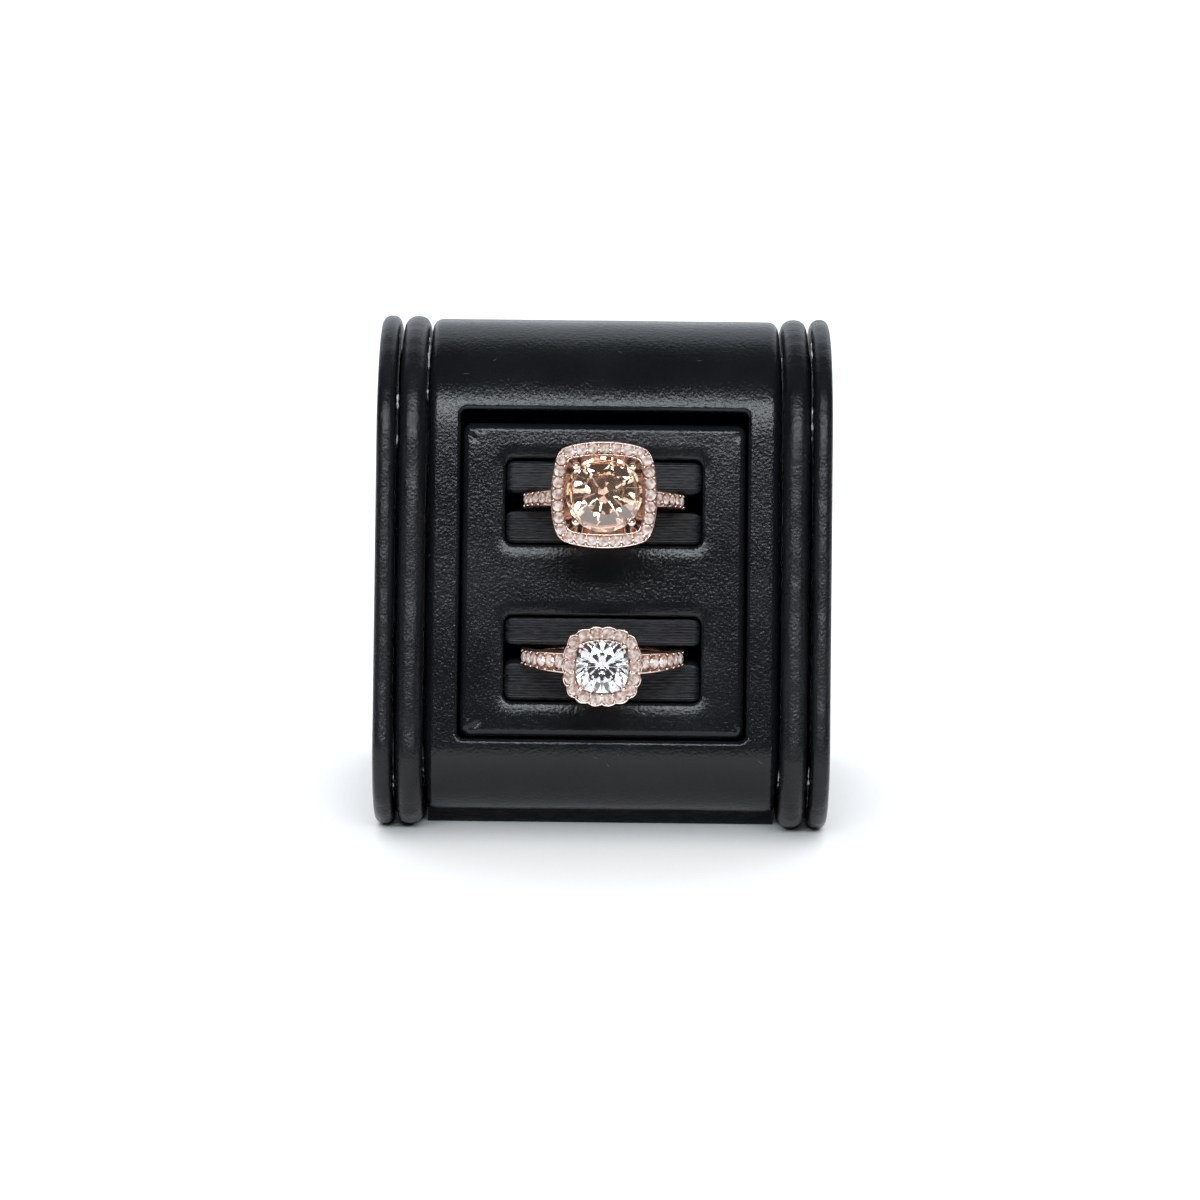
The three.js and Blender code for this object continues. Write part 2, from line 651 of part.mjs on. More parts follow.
// The halo: a cushion plate with a seat for each small stone and room for the claws.
function haloFrame(ring) {
  const { row, cornerAt } = ring.halo;
  const opening = haloOpening(ring);
  const shape = new THREE.Shape(cushion(opening + row, cornerAt));
  shape.holes.push(new THREE.Path(cushion(opening, cornerAt)));
  const plate = new THREE.ExtrudeGeometry(shape, { depth: HALO_PLATE_T, bevelEnabled: false });
  return geometryOf(
    solid(plate.translate(0, 0, haloTop(ring) - HALO_PLATE_T))
      .subtract(haloStones(ring, STONE_GAP))
      .subtract(basket(ring, SOLDER_GAP)),
  );
}

const CENTRE_STONES = { upper: 'champagne_stone', lower: 'clear_stone' };
const rings = Object.entries(RINGS).map(([name, ring]) => {
  const group = new THREE.Group();
  group.add(part(`${name}_ring_band`, band(ring), 'rose_gold'));
  group.add(part(`${name}_ring_gallery`, gallery(ring), 'rose_gold'));
  group.add(part(`${name}_ring_halo`, haloFrame(ring), 'rose_gold'));
  group.add(part(`${name}_ring_centre_stone`, centreStone(ring), CENTRE_STONES[name]));
  group.add(part(`${name}_ring_halo_stones`, geometryOf(haloStones(ring)), 'clear_stone'));
  for (const [side, sign] of [['left', -1], ['right', 1]]) {
    const row = geometryOf(shoulderStones(ring, sign));
    group.add(part(`${name}_ring_${side}_shoulder_stones`, row, 'clear_stone'));
  }
  group.position.set(0, SLOT_CENTRES[name] + ring.rise, -RING_SINK);
  group.rotation.x = ring.tilt;
  return group;
});
face.add(...rings);

const group = new THREE.Group();
group.add(display);

export default group;
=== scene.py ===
# %% [markdown]
# # A ring display stand, dressed
#
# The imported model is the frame: it says where every part is and how it moves. This lesson dresses
# that frame. The stand gets its leatherette, foam and ribbed fabric, and the two rings get their
# gold and stones. Everything is in metres. The stand looks towards -Y, and +Z is up.

# %% Load the frame
import json
import math

import bmesh
import bpy
import numpy as np
from mathutils import Matrix, Vector


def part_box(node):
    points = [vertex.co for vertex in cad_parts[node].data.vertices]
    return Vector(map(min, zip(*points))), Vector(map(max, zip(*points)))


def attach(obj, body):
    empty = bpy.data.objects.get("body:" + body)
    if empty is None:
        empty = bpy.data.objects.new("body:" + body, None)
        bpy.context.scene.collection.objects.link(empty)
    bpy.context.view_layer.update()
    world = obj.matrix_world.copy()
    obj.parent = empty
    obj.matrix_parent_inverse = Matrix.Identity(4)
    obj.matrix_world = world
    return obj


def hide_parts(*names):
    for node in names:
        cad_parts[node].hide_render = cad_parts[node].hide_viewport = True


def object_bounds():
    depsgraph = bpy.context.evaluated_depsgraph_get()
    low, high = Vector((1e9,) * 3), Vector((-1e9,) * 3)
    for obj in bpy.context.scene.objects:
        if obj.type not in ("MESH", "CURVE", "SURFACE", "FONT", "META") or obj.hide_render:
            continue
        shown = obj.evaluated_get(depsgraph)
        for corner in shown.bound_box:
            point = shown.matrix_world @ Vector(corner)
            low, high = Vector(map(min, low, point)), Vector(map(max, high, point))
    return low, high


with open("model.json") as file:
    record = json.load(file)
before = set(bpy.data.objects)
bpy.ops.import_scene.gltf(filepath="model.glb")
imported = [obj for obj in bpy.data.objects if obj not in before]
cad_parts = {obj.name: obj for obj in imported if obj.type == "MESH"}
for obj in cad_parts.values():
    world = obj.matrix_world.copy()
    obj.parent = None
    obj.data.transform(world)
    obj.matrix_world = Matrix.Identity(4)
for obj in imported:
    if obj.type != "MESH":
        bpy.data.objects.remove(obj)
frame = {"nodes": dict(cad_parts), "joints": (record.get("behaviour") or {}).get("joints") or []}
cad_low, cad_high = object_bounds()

MM = 0.001
print("the frame measures", [round(s / MM, 1) for s in cad_high - cad_low], "mm")

# %% [markdown]
# ## Directions and sizes from the frame
#
# The pad's face leans back. The upper ring is pulled straight out of it, so that joint's axis is
# the face's outward direction, and the direction up the face is square to it. With x across, these
# three are square to each other, so a part's place on the face is how far it reaches along each.
# That is read from the part's own vertices, which is surer than a number typed again.

# %% Measure a part along a direction
joints = {joint["name"]: joint for joint in frame["joints"]}
ACROSS = np.array([1.0, 0.0, 0.0])
OUT = np.array(joints["upper_ring_lift"]["axis"], float)
UP = np.cross(OUT, ACROSS)


def corners_of(node):
    """Every vertex of a part, one row each."""
    mesh = frame["nodes"][node].data
    points = np.empty(len(mesh.vertices) * 3, np.float32)
    mesh.vertices.foreach_get("co", points)
    return points.reshape(-1, 3).astype(float)


def reach(node, direction):
    """How far a part reaches along a direction: its lowest and its highest value there."""
    along = corners_of(node) @ direction
    return along.min(), along.max()


def on_face(x, up, out):
    """The point that is x across, up along the face and out along its outward direction."""
    x, up, out = np.broadcast_arrays(x, up, out)
    return x[..., None] * ACROSS + up[..., None] * UP + out[..., None] * OUT


FACE_OUT = reach("pad_wrap", OUT)[1]
print("the face leans back", round(math.degrees(math.asin(OUT[2])), 1), "degrees")

# %% [markdown]
# ## Camera
#
# The stand is seen from the front, a little above its base line and almost square to the leaning
# face, through a long lens, so its sides stay parallel. The camera is rolled by a part of a degree,
# as a hand-held one is. It aims at a point under the middle of the stand, which leaves more room
# above it than below.

# %% Camera
CAMERA_UP = math.radians(12.6)
CAMERA_ROLL = math.radians(0.65)
CAMERA_AWAY = 0.511
AIM_BELOW, AIM_LEFT = 4.2 * MM, 0.35 * MM

middle = (cad_low + cad_high) / 2
back = Vector((0, -math.cos(CAMERA_UP), math.sin(CAMERA_UP)))
above = Vector((0, math.sin(CAMERA_UP), math.cos(CAMERA_UP)))
lens = bpy.data.cameras.new("camera")
lens.lens, lens.sensor_width = 120, 36
lens.clip_start, lens.clip_end = 0.01, 50
camera = bpy.data.objects.new("camera", lens)
aim = middle - above * AIM_BELOW - Vector(ACROSS) * AIM_LEFT
turn = (-back).to_track_quat("-Z", "Y").to_matrix().to_4x4()
camera.matrix_world = Matrix.Translation(aim + back * CAMERA_AWAY) @ turn @ Matrix.Rotation(
    CAMERA_ROLL, 4, "Z"
)
bpy.context.scene.collection.objects.link(camera)
bpy.context.scene.camera = camera
print("camera", [round(c, 3) for c in camera.location])

# %% [markdown]
# ## Studio
#
# Black leatherette shows its shape by what it mirrors, so the room matters more than the amount of
# light. A soft box hangs in front, above the camera's line: it makes the band of light along the
# top roll and on every edge that faces up. A pale screen behind draws the far side of the roll. The
# light on the floor comes from a broad source that is kept out of reflections, so that the floor is
# pale and the top of the roll still mirrors a dark ceiling. The room beyond is dim to everything
# but the camera, to which it is as pale as the floor.

# %% Studio lights


def area_light(name, place, aim_at, size, radiance, colour):
    """A rectangular light of one radiance: its power is radiance times pi times its area."""
    data = bpy.data.lights.new(name, "AREA")
    data.shape, data.size, data.size_y = "RECTANGLE", *size
    data.energy = radiance * math.pi * size[0] * size[1]
    data.color = colour
    light = bpy.data.objects.new(name, data)
    light.location = place
    light.rotation_euler = (Vector(aim_at) - Vector(place)).to_track_quat("-Z", "Y").to_euler()
    light.visible_camera = False
    bpy.context.scene.collection.objects.link(light)


def at(elevation, azimuth, distance):
    """A place round the stand: azimuth 0 is in front, and positive to the right."""
    e, a = math.radians(elevation), math.radians(azimuth)
    flat = distance * math.cos(e)
    return middle + Vector((flat * math.sin(a), -flat * math.cos(a), distance * math.sin(e)))


SOFT_BOXES = [
    # name, elevation, size, radiance
    ("soft_box", 33.3, (1.0, 0.11), 18.0),
    ("soft_box_top", 39.3, (1.0, 0.10), 3.2),
]
SCREENS = [
    # name, place, size, radiance
    ("back_screen", Vector((0, 1.1, 0.75)), (2.6, 1.5), 1.2),
    ("back_screen_top", Vector((0, 0.8, 1.8)), (2.0, 0.8), 0.25),
]
BOX_AWAY, BOX_TINT, SCREEN_TINT = 0.9, (0.91, 0.955, 1.0), (0.86, 0.92, 1.0)
for name, elevation, size, radiance in SOFT_BOXES:
    area_light(name, at(elevation, 0, BOX_AWAY), middle, size, radiance, BOX_TINT)
for name, place, size, radiance in SCREENS:
    area_light(name, place, middle, size, radiance, SCREEN_TINT)
sky = bpy.data.lights.new("floor_light", "SUN")
sky.energy, sky.angle = 2.9, math.radians(120)
sky_light = bpy.data.objects.new("floor_light", sky)
sky_light.rotation_euler = (math.radians(-12), 0, 0)
sky_light.visible_glossy = False
bpy.context.scene.collection.objects.link(sky_light)

world = bpy.data.worlds.new("studio")
world.use_nodes = True
room = world.node_tree
dim = room.nodes["Background"]
pale = room.nodes.new("ShaderNodeBackground")
ROOM_TINT = (0.93, 0.96, 1.0, 1)
for background, strength in ((dim, 0.05), (pale, 0.95)):
    background.inputs["Color"].default_value = ROOM_TINT
    background.inputs["Strength"].default_value = strength
seen = room.nodes.new("ShaderNodeLightPath").outputs["Is Camera Ray"]
choice = room.nodes.new("ShaderNodeMixShader")
for socket, source in enumerate((seen, dim.outputs[0], pale.outputs[0])):
    room.links.new(source, choice.inputs[socket])
room.links.new(choice.outputs[0], room.nodes["World Output"].inputs["Surface"])
bpy.context.scene.world = world
bpy.context.scene.view_settings.view_transform = "Standard"

# %% [markdown]
# ## From formula to mesh
#
# Every soft piece here is a sheet: a grid of points worked out by a formula of two parameters. A
# piece may need a few grids, such as a face with a hole and the roll round its edge. They are laid
# so that their border points fall on each other, and points that coincide are then merged, which
# leaves one closed skin. A small sum of waves in random directions stands in for hand-made
# unevenness; its seed is fixed, so the piece is the same each time.

# %% Grids, meshes and unevenness


def grid_faces(rows, columns, first, closed):
    """Four-cornered faces of a grid of points, numbered row by row from first."""
    span = columns if closed else columns - 1
    r, c = np.meshgrid(np.arange(rows - 1), np.arange(span), indexing="ij")
    here, beside = r * columns + c, r * columns + (c + 1) % columns
    return first + np.stack([here, beside, beside + columns, here + columns], -1).reshape(-1, 4)


def sheet_mesh(name, grids, material, recalc=False, thick=None, merge=2e-7):
    """One object from grids of points, each (points, closed), with coinciding points merged. thick
    gives the sheet a wall on its inner side."""
    points, faces, count = [], [], 0
    for grid, closed in grids:
        rows, columns = grid.shape[:2]
        faces.append(grid_faces(rows, columns, count, closed))
        points.append(grid.reshape(-1, 3))
        count += rows * columns
    mesh = bpy.data.meshes.new(name)
    mesh.from_pydata(np.concatenate(points).tolist(), [], np.concatenate(faces).tolist())
    work = bmesh.new()
    work.from_mesh(mesh)
    bmesh.ops.remove_doubles(work, verts=work.verts, dist=merge)
    bmesh.ops.dissolve_degenerate(work, dist=merge, edges=work.edges)
    if recalc:
        bmesh.ops.recalc_face_normals(work, faces=work.faces)
    work.to_mesh(mesh)
    work.free()
    mesh.polygons.foreach_set("use_smooth", np.full(len(mesh.polygons), True))
    mesh.materials.append(material)
    piece = bpy.data.objects.new(name, mesh)
    bpy.context.scene.collection.objects.link(piece)
    if thick:
        wall = piece.modifiers.new("wall", "SOLIDIFY")
        wall.thickness, wall.offset = thick, -1
    return piece


def uneven(points, wavelength, seed, waves=7):
    """A smooth random height from -1 to 1: the mean of sines of points along random directions."""
    random = np.random.default_rng(seed)
    directions = random.normal(size=(waves, 3))
    directions /= np.linalg.norm(directions, axis=1)[:, None]
    scale = 2 * np.pi / (wavelength * random.uniform(0.7, 1.5, waves))
    phase = random.uniform(0, 2 * np.pi, waves)
    return np.sin(points @ (directions * scale[:, None]).T + phase).mean(-1)


print("helpers ready")

# %% [markdown]
# ## Finishes
#
# A finish is a shader. What several finishes share, such as the grain of leatherette, is a node
# group with named inputs and outputs, built once and placed in each material with its own values.
# The group gives only what changes over the surface; plain numbers are typed into the shader.

# %% Shader helpers


def new_material(name, **values):
    """A material with a Principled shader, and its plain values set on the shader's sockets."""
    material = bpy.data.materials.new(name)
    material.use_nodes = True
    shader = material.node_tree.nodes["Principled BSDF"]
    for socket, value in values.items():
        shader.inputs[socket.replace("_", " ")].default_value = value
    return material, material.node_tree, shader


def new_group(name, inputs, outputs):
    """A shader node group: inputs and outputs are {name: (socket type, default)}."""
    tree = bpy.data.node_groups.new(name, "ShaderNodeTree")
    for direction, sockets in (("INPUT", inputs), ("OUTPUT", outputs)):
        for socket, (kind, default) in sockets.items():
            made = tree.interface.new_socket(socket, in_out=direction, socket_type=kind)
            if default is not None:
                made.default_value = default
    return tree, tree.nodes.new("NodeGroupInput"), tree.nodes.new("NodeGroupOutput")


def node(tree, kind, inputs=(), **settings):
    """A node with its settings, and its inputs set to a value or linked to a socket."""
    made = tree.nodes.new(kind)
    for name, value in settings.items():
        setattr(made, name, value)
    for socket, value in dict(inputs).items():
        if isinstance(value, bpy.types.NodeSocket):
            tree.links.new(value, made.inputs[socket])
        else:
            made.inputs[socket].default_value = value
    return made


def maths(tree, operation, a, b=0.0, c=0.0):
    """A Math node's result."""
    return node(tree, "ShaderNodeMath", {0: a, 1: b, 2: c}, operation=operation).outputs[0]


def ramp(tree, value, low, high, to_low=0.0, to_high=1.0):
    """value from low..high to to_low..to_high, held at both ends."""
    inputs = {"Value": value, "From Min": low, "From Max": high}
    inputs.update({"To Min": to_low, "To Max": to_high})
    return node(tree, "ShaderNodeMapRange", inputs).outputs["Result"]


def noise(tree, places, scale, detail=2.0):
    """A noise's value at a place, about 0 to 1."""
    inputs = {"Vector": places, "Scale": scale, "Detail": detail}
    return node(tree, "ShaderNodeTexNoise", inputs).outputs["Fac"]


def bumped(tree, shader, height, depth):
    """Gives a shader the normal of a surface that height lifts by depth millimetres."""
    bump = node(tree, "ShaderNodeBump", {"Height": height, "Distance": depth * MM})
    tree.links.new(bump.outputs["Normal"], shader.inputs["Normal"])


def use_group(tree, group, **values):
    """A placed node group with its input values."""
    placed = tree.nodes.new("ShaderNodeGroup")
    placed.node_tree = group
    for socket, value in values.items():
        placed.inputs[socket.replace("_", " ")].default_value = value
    return placed.outputs


def mixed(tree, mask, a, b):
    """Colour a where mask is 0 and b where it is 1."""
    made = node(tree, "ShaderNodeMix", {"Factor": mask}, data_type="RGBA")
    for socket, value in ((6, a), (7, b)):
        if isinstance(value, bpy.types.NodeSocket):
            tree.links.new(value, made.inputs[socket])
        else:
            made.inputs[socket].default_value = value
    return made.outputs[2]


FLOAT = "NodeSocketFloat"
print("shader helpers ready")

# %% [markdown]
# ### Leatherette
#
# The wrap is a thin plastic skin on cloth. Close up it has a pebbled grain a third of a
# millimetre across, drawn out a little where the sheet was rolled, and a satin gloss that varies
# where it has been handled. The pebbles are Voronoi cells, rounded by their distance to the edge,
# and two noises, one fine and one drawn out along Z, break their order.

# %% Leatherette
grain, grain_in, grain_out = new_group(
    "leatherette grain",
    {"Pebble": (FLOAT, 0.32), "Streak": (FLOAT, 0.3)},
    {"Height": (FLOAT, None), "Wear": (FLOAT, None), "Dust": (FLOAT, None)},
)
grain_places = node(grain, "ShaderNodeTexCoord").outputs["Object"]
per_pebble = maths(grain, "DIVIDE", 1 / MM, grain_in.outputs["Pebble"])
pebbles = node(
    grain,
    "ShaderNodeTexVoronoi",
    {"Vector": grain_places, "Scale": per_pebble, "Randomness": 1.0},
    feature="SMOOTH_F1",
).outputs["Distance"]
fine = noise(grain, grain_places, 9000.0)
drawn_out = node(
    grain, "ShaderNodeMapping", {"Vector": grain_places, "Scale": (1.0, 1.0, 0.16)}
).outputs["Vector"]
streaks = noise(grain, drawn_out, 1900.0, 3.0)
streak_part = maths(grain, "MULTIPLY", streaks, grain_in.outputs["Streak"])
pebble_part = maths(grain, "MULTIPLY_ADD", pebbles, -0.55, 0.55)
height = maths(grain, "MULTIPLY_ADD", fine, 0.35, maths(grain, "ADD", streak_part, pebble_part))
grain.links.new(height, grain_out.inputs["Height"])
handled = noise(grain, grain_places, 110.0, 4.0)
grain.links.new(ramp(grain, handled, 0.3, 0.7), grain_out.inputs["Wear"])
motes = node(
    grain, "ShaderNodeTexVoronoi", {"Vector": grain_places, "Scale": 330.0}, feature="F1"
).outputs["Distance"]
grain.links.new(ramp(grain, motes, 0.016, 0.03, 1.0, 0.0), grain_out.inputs["Dust"])


def leatherette(name, gloss, depth=0.036, streak=0.8):
    """Black satin leatherette: gloss is its mean roughness, depth the grain's height in mm."""
    material, tree, shader = new_material(name, IOR=1.37)
    grained = use_group(tree, grain, Streak=streak)
    dark, worn = (0.0038, 0.0044, 0.0054, 1), (0.0062, 0.0070, 0.0083, 1)
    mote = (0.2, 0.2, 0.2, 1)
    colour = mixed(tree, grained["Wear"], dark, worn)
    colour = mixed(tree, maths(tree, "MULTIPLY", grained["Dust"], 0.3), colour, mote)
    tree.links.new(colour, shader.inputs["Base Color"])
    rough = ramp(tree, grained["Wear"], 0, 1, gloss - 0.03, gloss + 0.04)
    tree.links.new(rough, shader.inputs["Roughness"])
    bumped(tree, shader, grained["Height"], depth)
    return material


body_leather = leatherette("body leatherette", 0.17, depth=0.05)
cheek_leather = leatherette("cheek leatherette", 0.27, depth=0.075, streak=0.4)
pad_leather = leatherette("pad leatherette", 0.17, depth=0.045)
print("leatherette made")

# %% [markdown]
# ### Ribbed fabric, foam, felt and board
#
# The lips wear a ribbed fabric. Its ribs are real folds in the mesh, so the material only adds the
# yarn: a fine noise and a weak gloss. The pieces that the wrap hides are seen only down a slot or
# from below: foam with open pores, felt with fibres, and pressed board with long flecks.

# %% Fabrics and board
fibres, fibres_in, fibres_out = new_group(
    "fibres",
    {"Scale": (FLOAT, 3000.0), "Stretch": (FLOAT, 1.0)},
    {"Height": (FLOAT, None), "Shade": (FLOAT, None)},
)
fibre_places = node(fibres, "ShaderNodeTexCoord").outputs["Object"]
stretch = fibres_in.outputs["Stretch"]
pulled = node(fibres, "ShaderNodeCombineXYZ", {"X": stretch, "Y": 1.0, "Z": 1.0})
fibre_mapped = node(
    fibres,
    "ShaderNodeVectorMath",
    {0: fibre_places, 1: pulled.outputs["Vector"]},
    operation="MULTIPLY",
).outputs["Vector"]
fibre_noise = noise(fibres, fibre_mapped, fibres_in.outputs["Scale"], 3.0)
fibres.links.new(fibre_noise, fibres_out.inputs["Height"])
fibres.links.new(ramp(fibres, fibre_noise, 0.35, 0.7), fibres_out.inputs["Shade"])


def fibrous(name, dark, light, scale, stretch, depth, **values):
    """A matt finish of fibres, pores or flecks, between two colours."""
    material, tree, shader = new_material(name, **values)
    made = use_group(tree, fibres, Scale=scale, Stretch=stretch)
    tree.links.new(mixed(tree, made["Shade"], dark, light), shader.inputs["Base Color"])
    bumped(tree, shader, made["Height"], depth)
    return material


rib_dark, rib_light = (0.004, 0.0045, 0.0055, 1), (0.024, 0.025, 0.029, 1)
ribbed = fibrous(
    "ribbed fabric", rib_dark, rib_light, 3600.0, 0.25, 0.05, Roughness=0.36, IOR=1.33
)
foam_dark, foam_light = (0.010, 0.010, 0.011, 1), (0.035, 0.035, 0.038, 1)
foam = fibrous("foam", foam_dark, foam_light, 2200.0, 1.0, 0.2, Roughness=0.95)
felt_dark, felt_light = (0.004, 0.004, 0.005, 1), (0.016, 0.016, 0.018, 1)
felt = fibrous("felt", felt_dark, felt_light, 2600.0, 0.3, 0.25, Roughness=0.95, Sheen_Weight=0.2)
board_dark, board_light = (0.012, 0.010, 0.009, 1), (0.045, 0.038, 0.032, 1)
board = fibrous("pressed board", board_dark, board_light, 1500.0, 0.15, 0.06, Roughness=0.8)

INSIDE = {"core_block": board, "body_padding": foam, "base_felt": felt}
INSIDE.update({"pad_foam": foam, "pad_board": board})
for side in ("left", "right"):
    for place in ("inner", "outer"):
        INSIDE[f"{side}_{place}_cheek_board"] = board
for name, finish in INSIDE.items():
    frame["nodes"][name].data.materials.clear()
    frame["nodes"][name].data.materials.append(finish)
print(len(INSIDE), "inner parts finished")

# %% [markdown]
# ## The side profile
#
# Seen from the side, the stand is a belt stretched round four rolls: the foot, the brow, the top
# and the heel. The brow is large and flat, and eases the face into the top. A belt is a chain of
# arcs and straight runs, so it is worked out from the rolls' centres and radii alone. The centres
# follow from the part's box and the face's plane. The outline is then sampled finely, with its
# outward normals, and read back by the distance along it. Distance counts up the face, over the
# top and round, and it is the face's own height while it is on the face.

# %% Belt round the rolls
FOOT_ROLL, HEEL_ROLL, TOP_ROLL = 8.5 * MM, 5 * MM, 13.7 * MM
BROW_ROLL, BROW_TURN = 30 * MM, math.radians(7)


def rolls_of(node, foot, heel, top):
    """Centres and radii (y, z, r) of the foot, brow, top and heel rolls that a part's box holds.
    The brow is a flatter roll inside the top one's line: padding eases the face into the roll."""
    low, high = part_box(node)
    plane = reach(node, OUT)[1]
    top_z = high.z - top
    top_y = (plane - top - OUT[2] * top_z) / OUT[1]
    turn = math.asin(OUT[2]) + BROW_TURN
    towards_brow = np.array([-math.cos(turn), math.sin(turn)])
    brow_y, brow_z = np.array([top_y, top_z]) - (BROW_ROLL - top) * towards_brow
    return [
        (low.y + foot, low.z + foot, foot),
        (brow_y, brow_z, BROW_ROLL),
        (top_y, top_z, top),
        (high.y - heel, low.z + heel, heel),
    ]


class Belt:
    """The outline of a belt round circles (y, z, r), taken clockwise as seen from -X."""

    def __init__(self, circles, step=0.1 * MM):
        centres = np.array([c[:2] for c in circles])
        radii = np.array([c[2] for c in circles])
        run = np.roll(centres, -1, 0) - centres
        length = np.hypot(*run.T)
        falls = np.clip((radii - np.roll(radii, -1)) / length, -1, 1)
        leave = np.arctan2(run[:, 1], run[:, 0]) + np.arccos(falls)
        points, normals = [], []
        for i, (centre, r) in enumerate(zip(centres, radii)):
            turn = (leave[i - 1] - leave[i]) % (2 * np.pi)
            angles = leave[i - 1] - np.linspace(0, turn, max(2, round(turn * r / step)))
            normal = np.stack([np.cos(angles), np.sin(angles)], -1)
            straight = length[i] * math.sqrt(1 - falls[i] ** 2)
            share = np.linspace(0, 1, max(2, round(straight / step)))[1:-1, None]
            after = (i + 1) % len(radii)
            end = centres[after] + radii[after] * normal[-1]
            arc = centre + r * normal
            points += [arc, arc[-1] + share * (end - arc[-1])]
            normals += [normal, np.repeat(normal[-1:], len(share), 0)]
        self.points, self.normals = np.concatenate(points), np.concatenate(normals)
        gaps = np.linalg.norm(np.roll(self.points, -1, 0) - self.points, axis=1)
        along = np.concatenate([[0], np.cumsum(gaps)[:-1]])
        self.length = gaps.sum()
        facing = self.normals @ OUT[1:]
        flat = facing > facing.max() - 1e-7
        first = np.flatnonzero(flat & ~np.roll(flat, 1))[0]
        self.along = along - along[first] + self.points[first] @ UP[1:]

    def at(self, distance):
        """Point (y, z) and outward normal at a distance along the belt."""
        read = [
            np.interp(distance, self.along, values, period=self.length)
            for values in (*self.points.T, *self.normals.T)
        ]
        normal = np.stack(read[2:], -1)
        return np.stack(read[:2], -1), normal / np.linalg.norm(normal, axis=-1, keepdims=True)

    def surface(self, x, distance, inset=0.0):
        """The point across x, at a distance along the belt, inset below it."""
        x, distance, inset = np.broadcast_arrays(x, distance, inset)
        point, normal = self.at(distance)
        point = point - inset[..., None] * normal
        return np.concatenate([x[..., None], point], -1)


body_belt = Belt(rolls_of("body_wrap", FOOT_ROLL, HEEL_ROLL, TOP_ROLL))
print("the body is", round(body_belt.length / MM), "mm round")

# %% [markdown]
# ## Body wrap
#
# One skin goes round the body. The leaning face has a window for the pad, and the skin turns in at
# the window and lines its walls. A plain grid can't hold a window, so the face is a ring patch: a
# stack of closed loops that begins as a rectangle and ends as the rounded window, then rolls over
# its edge and runs down the wall. Each loop has the same number of points, and the outermost one
# falls on the grid that covers the rest of the body. At both ends the skin rolls over and ends
# behind the cheek.

# %% Rounded loops


def spread(half, radius, ends, steps):
    """Places along a side from -half to half: ends steps next to each corner and steps between."""
    corner = np.linspace(half - radius, half, ends + 1)
    between = np.linspace(radius - half, half - radius, steps + 1)
    return np.concatenate([-corner[::-1], between[1:-1], corner])


def drawn_to(places, start, new_end):
    """Places along a side, with what is past start drawn out so that the side ends at new_end."""
    size, end = np.abs(places), np.abs(places).max()
    far = start + (size - start) * (new_end - start) / (end - start)
    return np.sign(places) * np.where(size > start, far, size)


def square_loop(half, inner, radius, ends, steps):
    """A rectangle as a loop from its low left corner, its points facing those of a rounded loop
    with the half sizes inner. half, inner and steps hold a value across and a value up."""
    x, y = (
        drawn_to(spread(inner[i], radius, ends, steps[i]), inner[i] - radius, half[i])
        for i in (0, 1)
    )
    low, right = np.full_like(x, -half[1]), np.full_like(y, half[0])
    sides = [(x, low), (right, y), (x[::-1], -low), (-right, y[::-1])]
    return np.concatenate([np.stack(side, -1)[:-1] for side in sides])


def rounded_loop(half, radius, ends, steps):
    """A rectangle with rounded corners as a loop, from the middle of its low left corner."""
    eighth = np.linspace(-np.pi / 4, 0, ends + 1)

    def low_side(across, height, count):
        """A low side from left to right, with half a corner's arc at each end."""
        arc = np.stack([np.sin(eighth), -np.cos(eighth)], -1) * radius + radius - [across, height]
        run = np.linspace(radius - across, across - radius, count + 1)[1:-1]
        run = np.stack([run, np.full_like(run, -height)], -1)
        return np.concatenate([arc, run, arc[::-1] * [-1, 1]])[:-1]

    low, right = low_side(half[0], half[1], steps[0]), low_side(half[1], half[0], steps[1])
    right = np.stack([-right[:, 1], right[:, 0]], -1)
    return np.concatenate([low, right, -low, -right])


def edge_roll(radius, depth, wall_steps, arc_steps=6):
    """Rows over a window's edge, as (distance outside the window, depth below the face): a quarter
    circle and then the wall."""
    angle = np.linspace(0, np.pi / 2, arc_steps + 1)
    arc = np.stack([radius * (1 - np.sin(angle)), radius * (1 - np.cos(angle))], -1)
    wall = np.linspace(radius, depth, wall_steps + 1)[1:]
    return np.concatenate([arc, np.stack([np.zeros_like(wall), wall], -1)])


print("loops ready")

# %% Body wrap
WRAP_T = 0.8 * MM
BODY_END_ROLL = 1.3 * MM
RECESS_DEPTH = 11 * MM
RECESS_ROLL, RECESS_CORNER = 0.6 * MM, 0.8 * MM
SIDE_GAP, FOOT_GAP, TOP_GAP = 0.3 * MM, 0.25 * MM, 1.65 * MM
PATCH_MARGIN = 4 * MM


# Height, wavelength (both in mm) and seed of each set of waves in the body's skin.
BODY_WAVES = ((0.05, 14, 3), (0.018, 5, 4), (0.004, 1.6, 5))


def body_unevenness(points):
    """How far the padded skin sags or stands, in metres: broad, shallow waves and finer ones."""
    return sum(height * uneven(points, wave * MM, seed) for height, wave, seed in BODY_WAVES) * MM


def body_skin(x, distance, inset):
    """A point of the body's skin, with its unevenness."""
    plain = body_belt.surface(x, distance, inset)
    return body_belt.surface(x, distance, inset - body_unevenness(plain))


pad_low, pad_high = reach("pad_wrap", UP)
pad_half = np.array([reach("pad_wrap", ACROSS)[1], (pad_high - pad_low) / 2])
half_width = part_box("body_wrap")[1].x
recess_low, recess_high = pad_low - FOOT_GAP, pad_high + TOP_GAP
recess_middle = (recess_low + recess_high) / 2
recess_half = np.array([pad_half[0] + SIDE_GAP, (recess_high - recess_low) / 2])
patch_half = np.array([half_width - BODY_END_ROLL, recess_half[1] + PATCH_MARGIN])

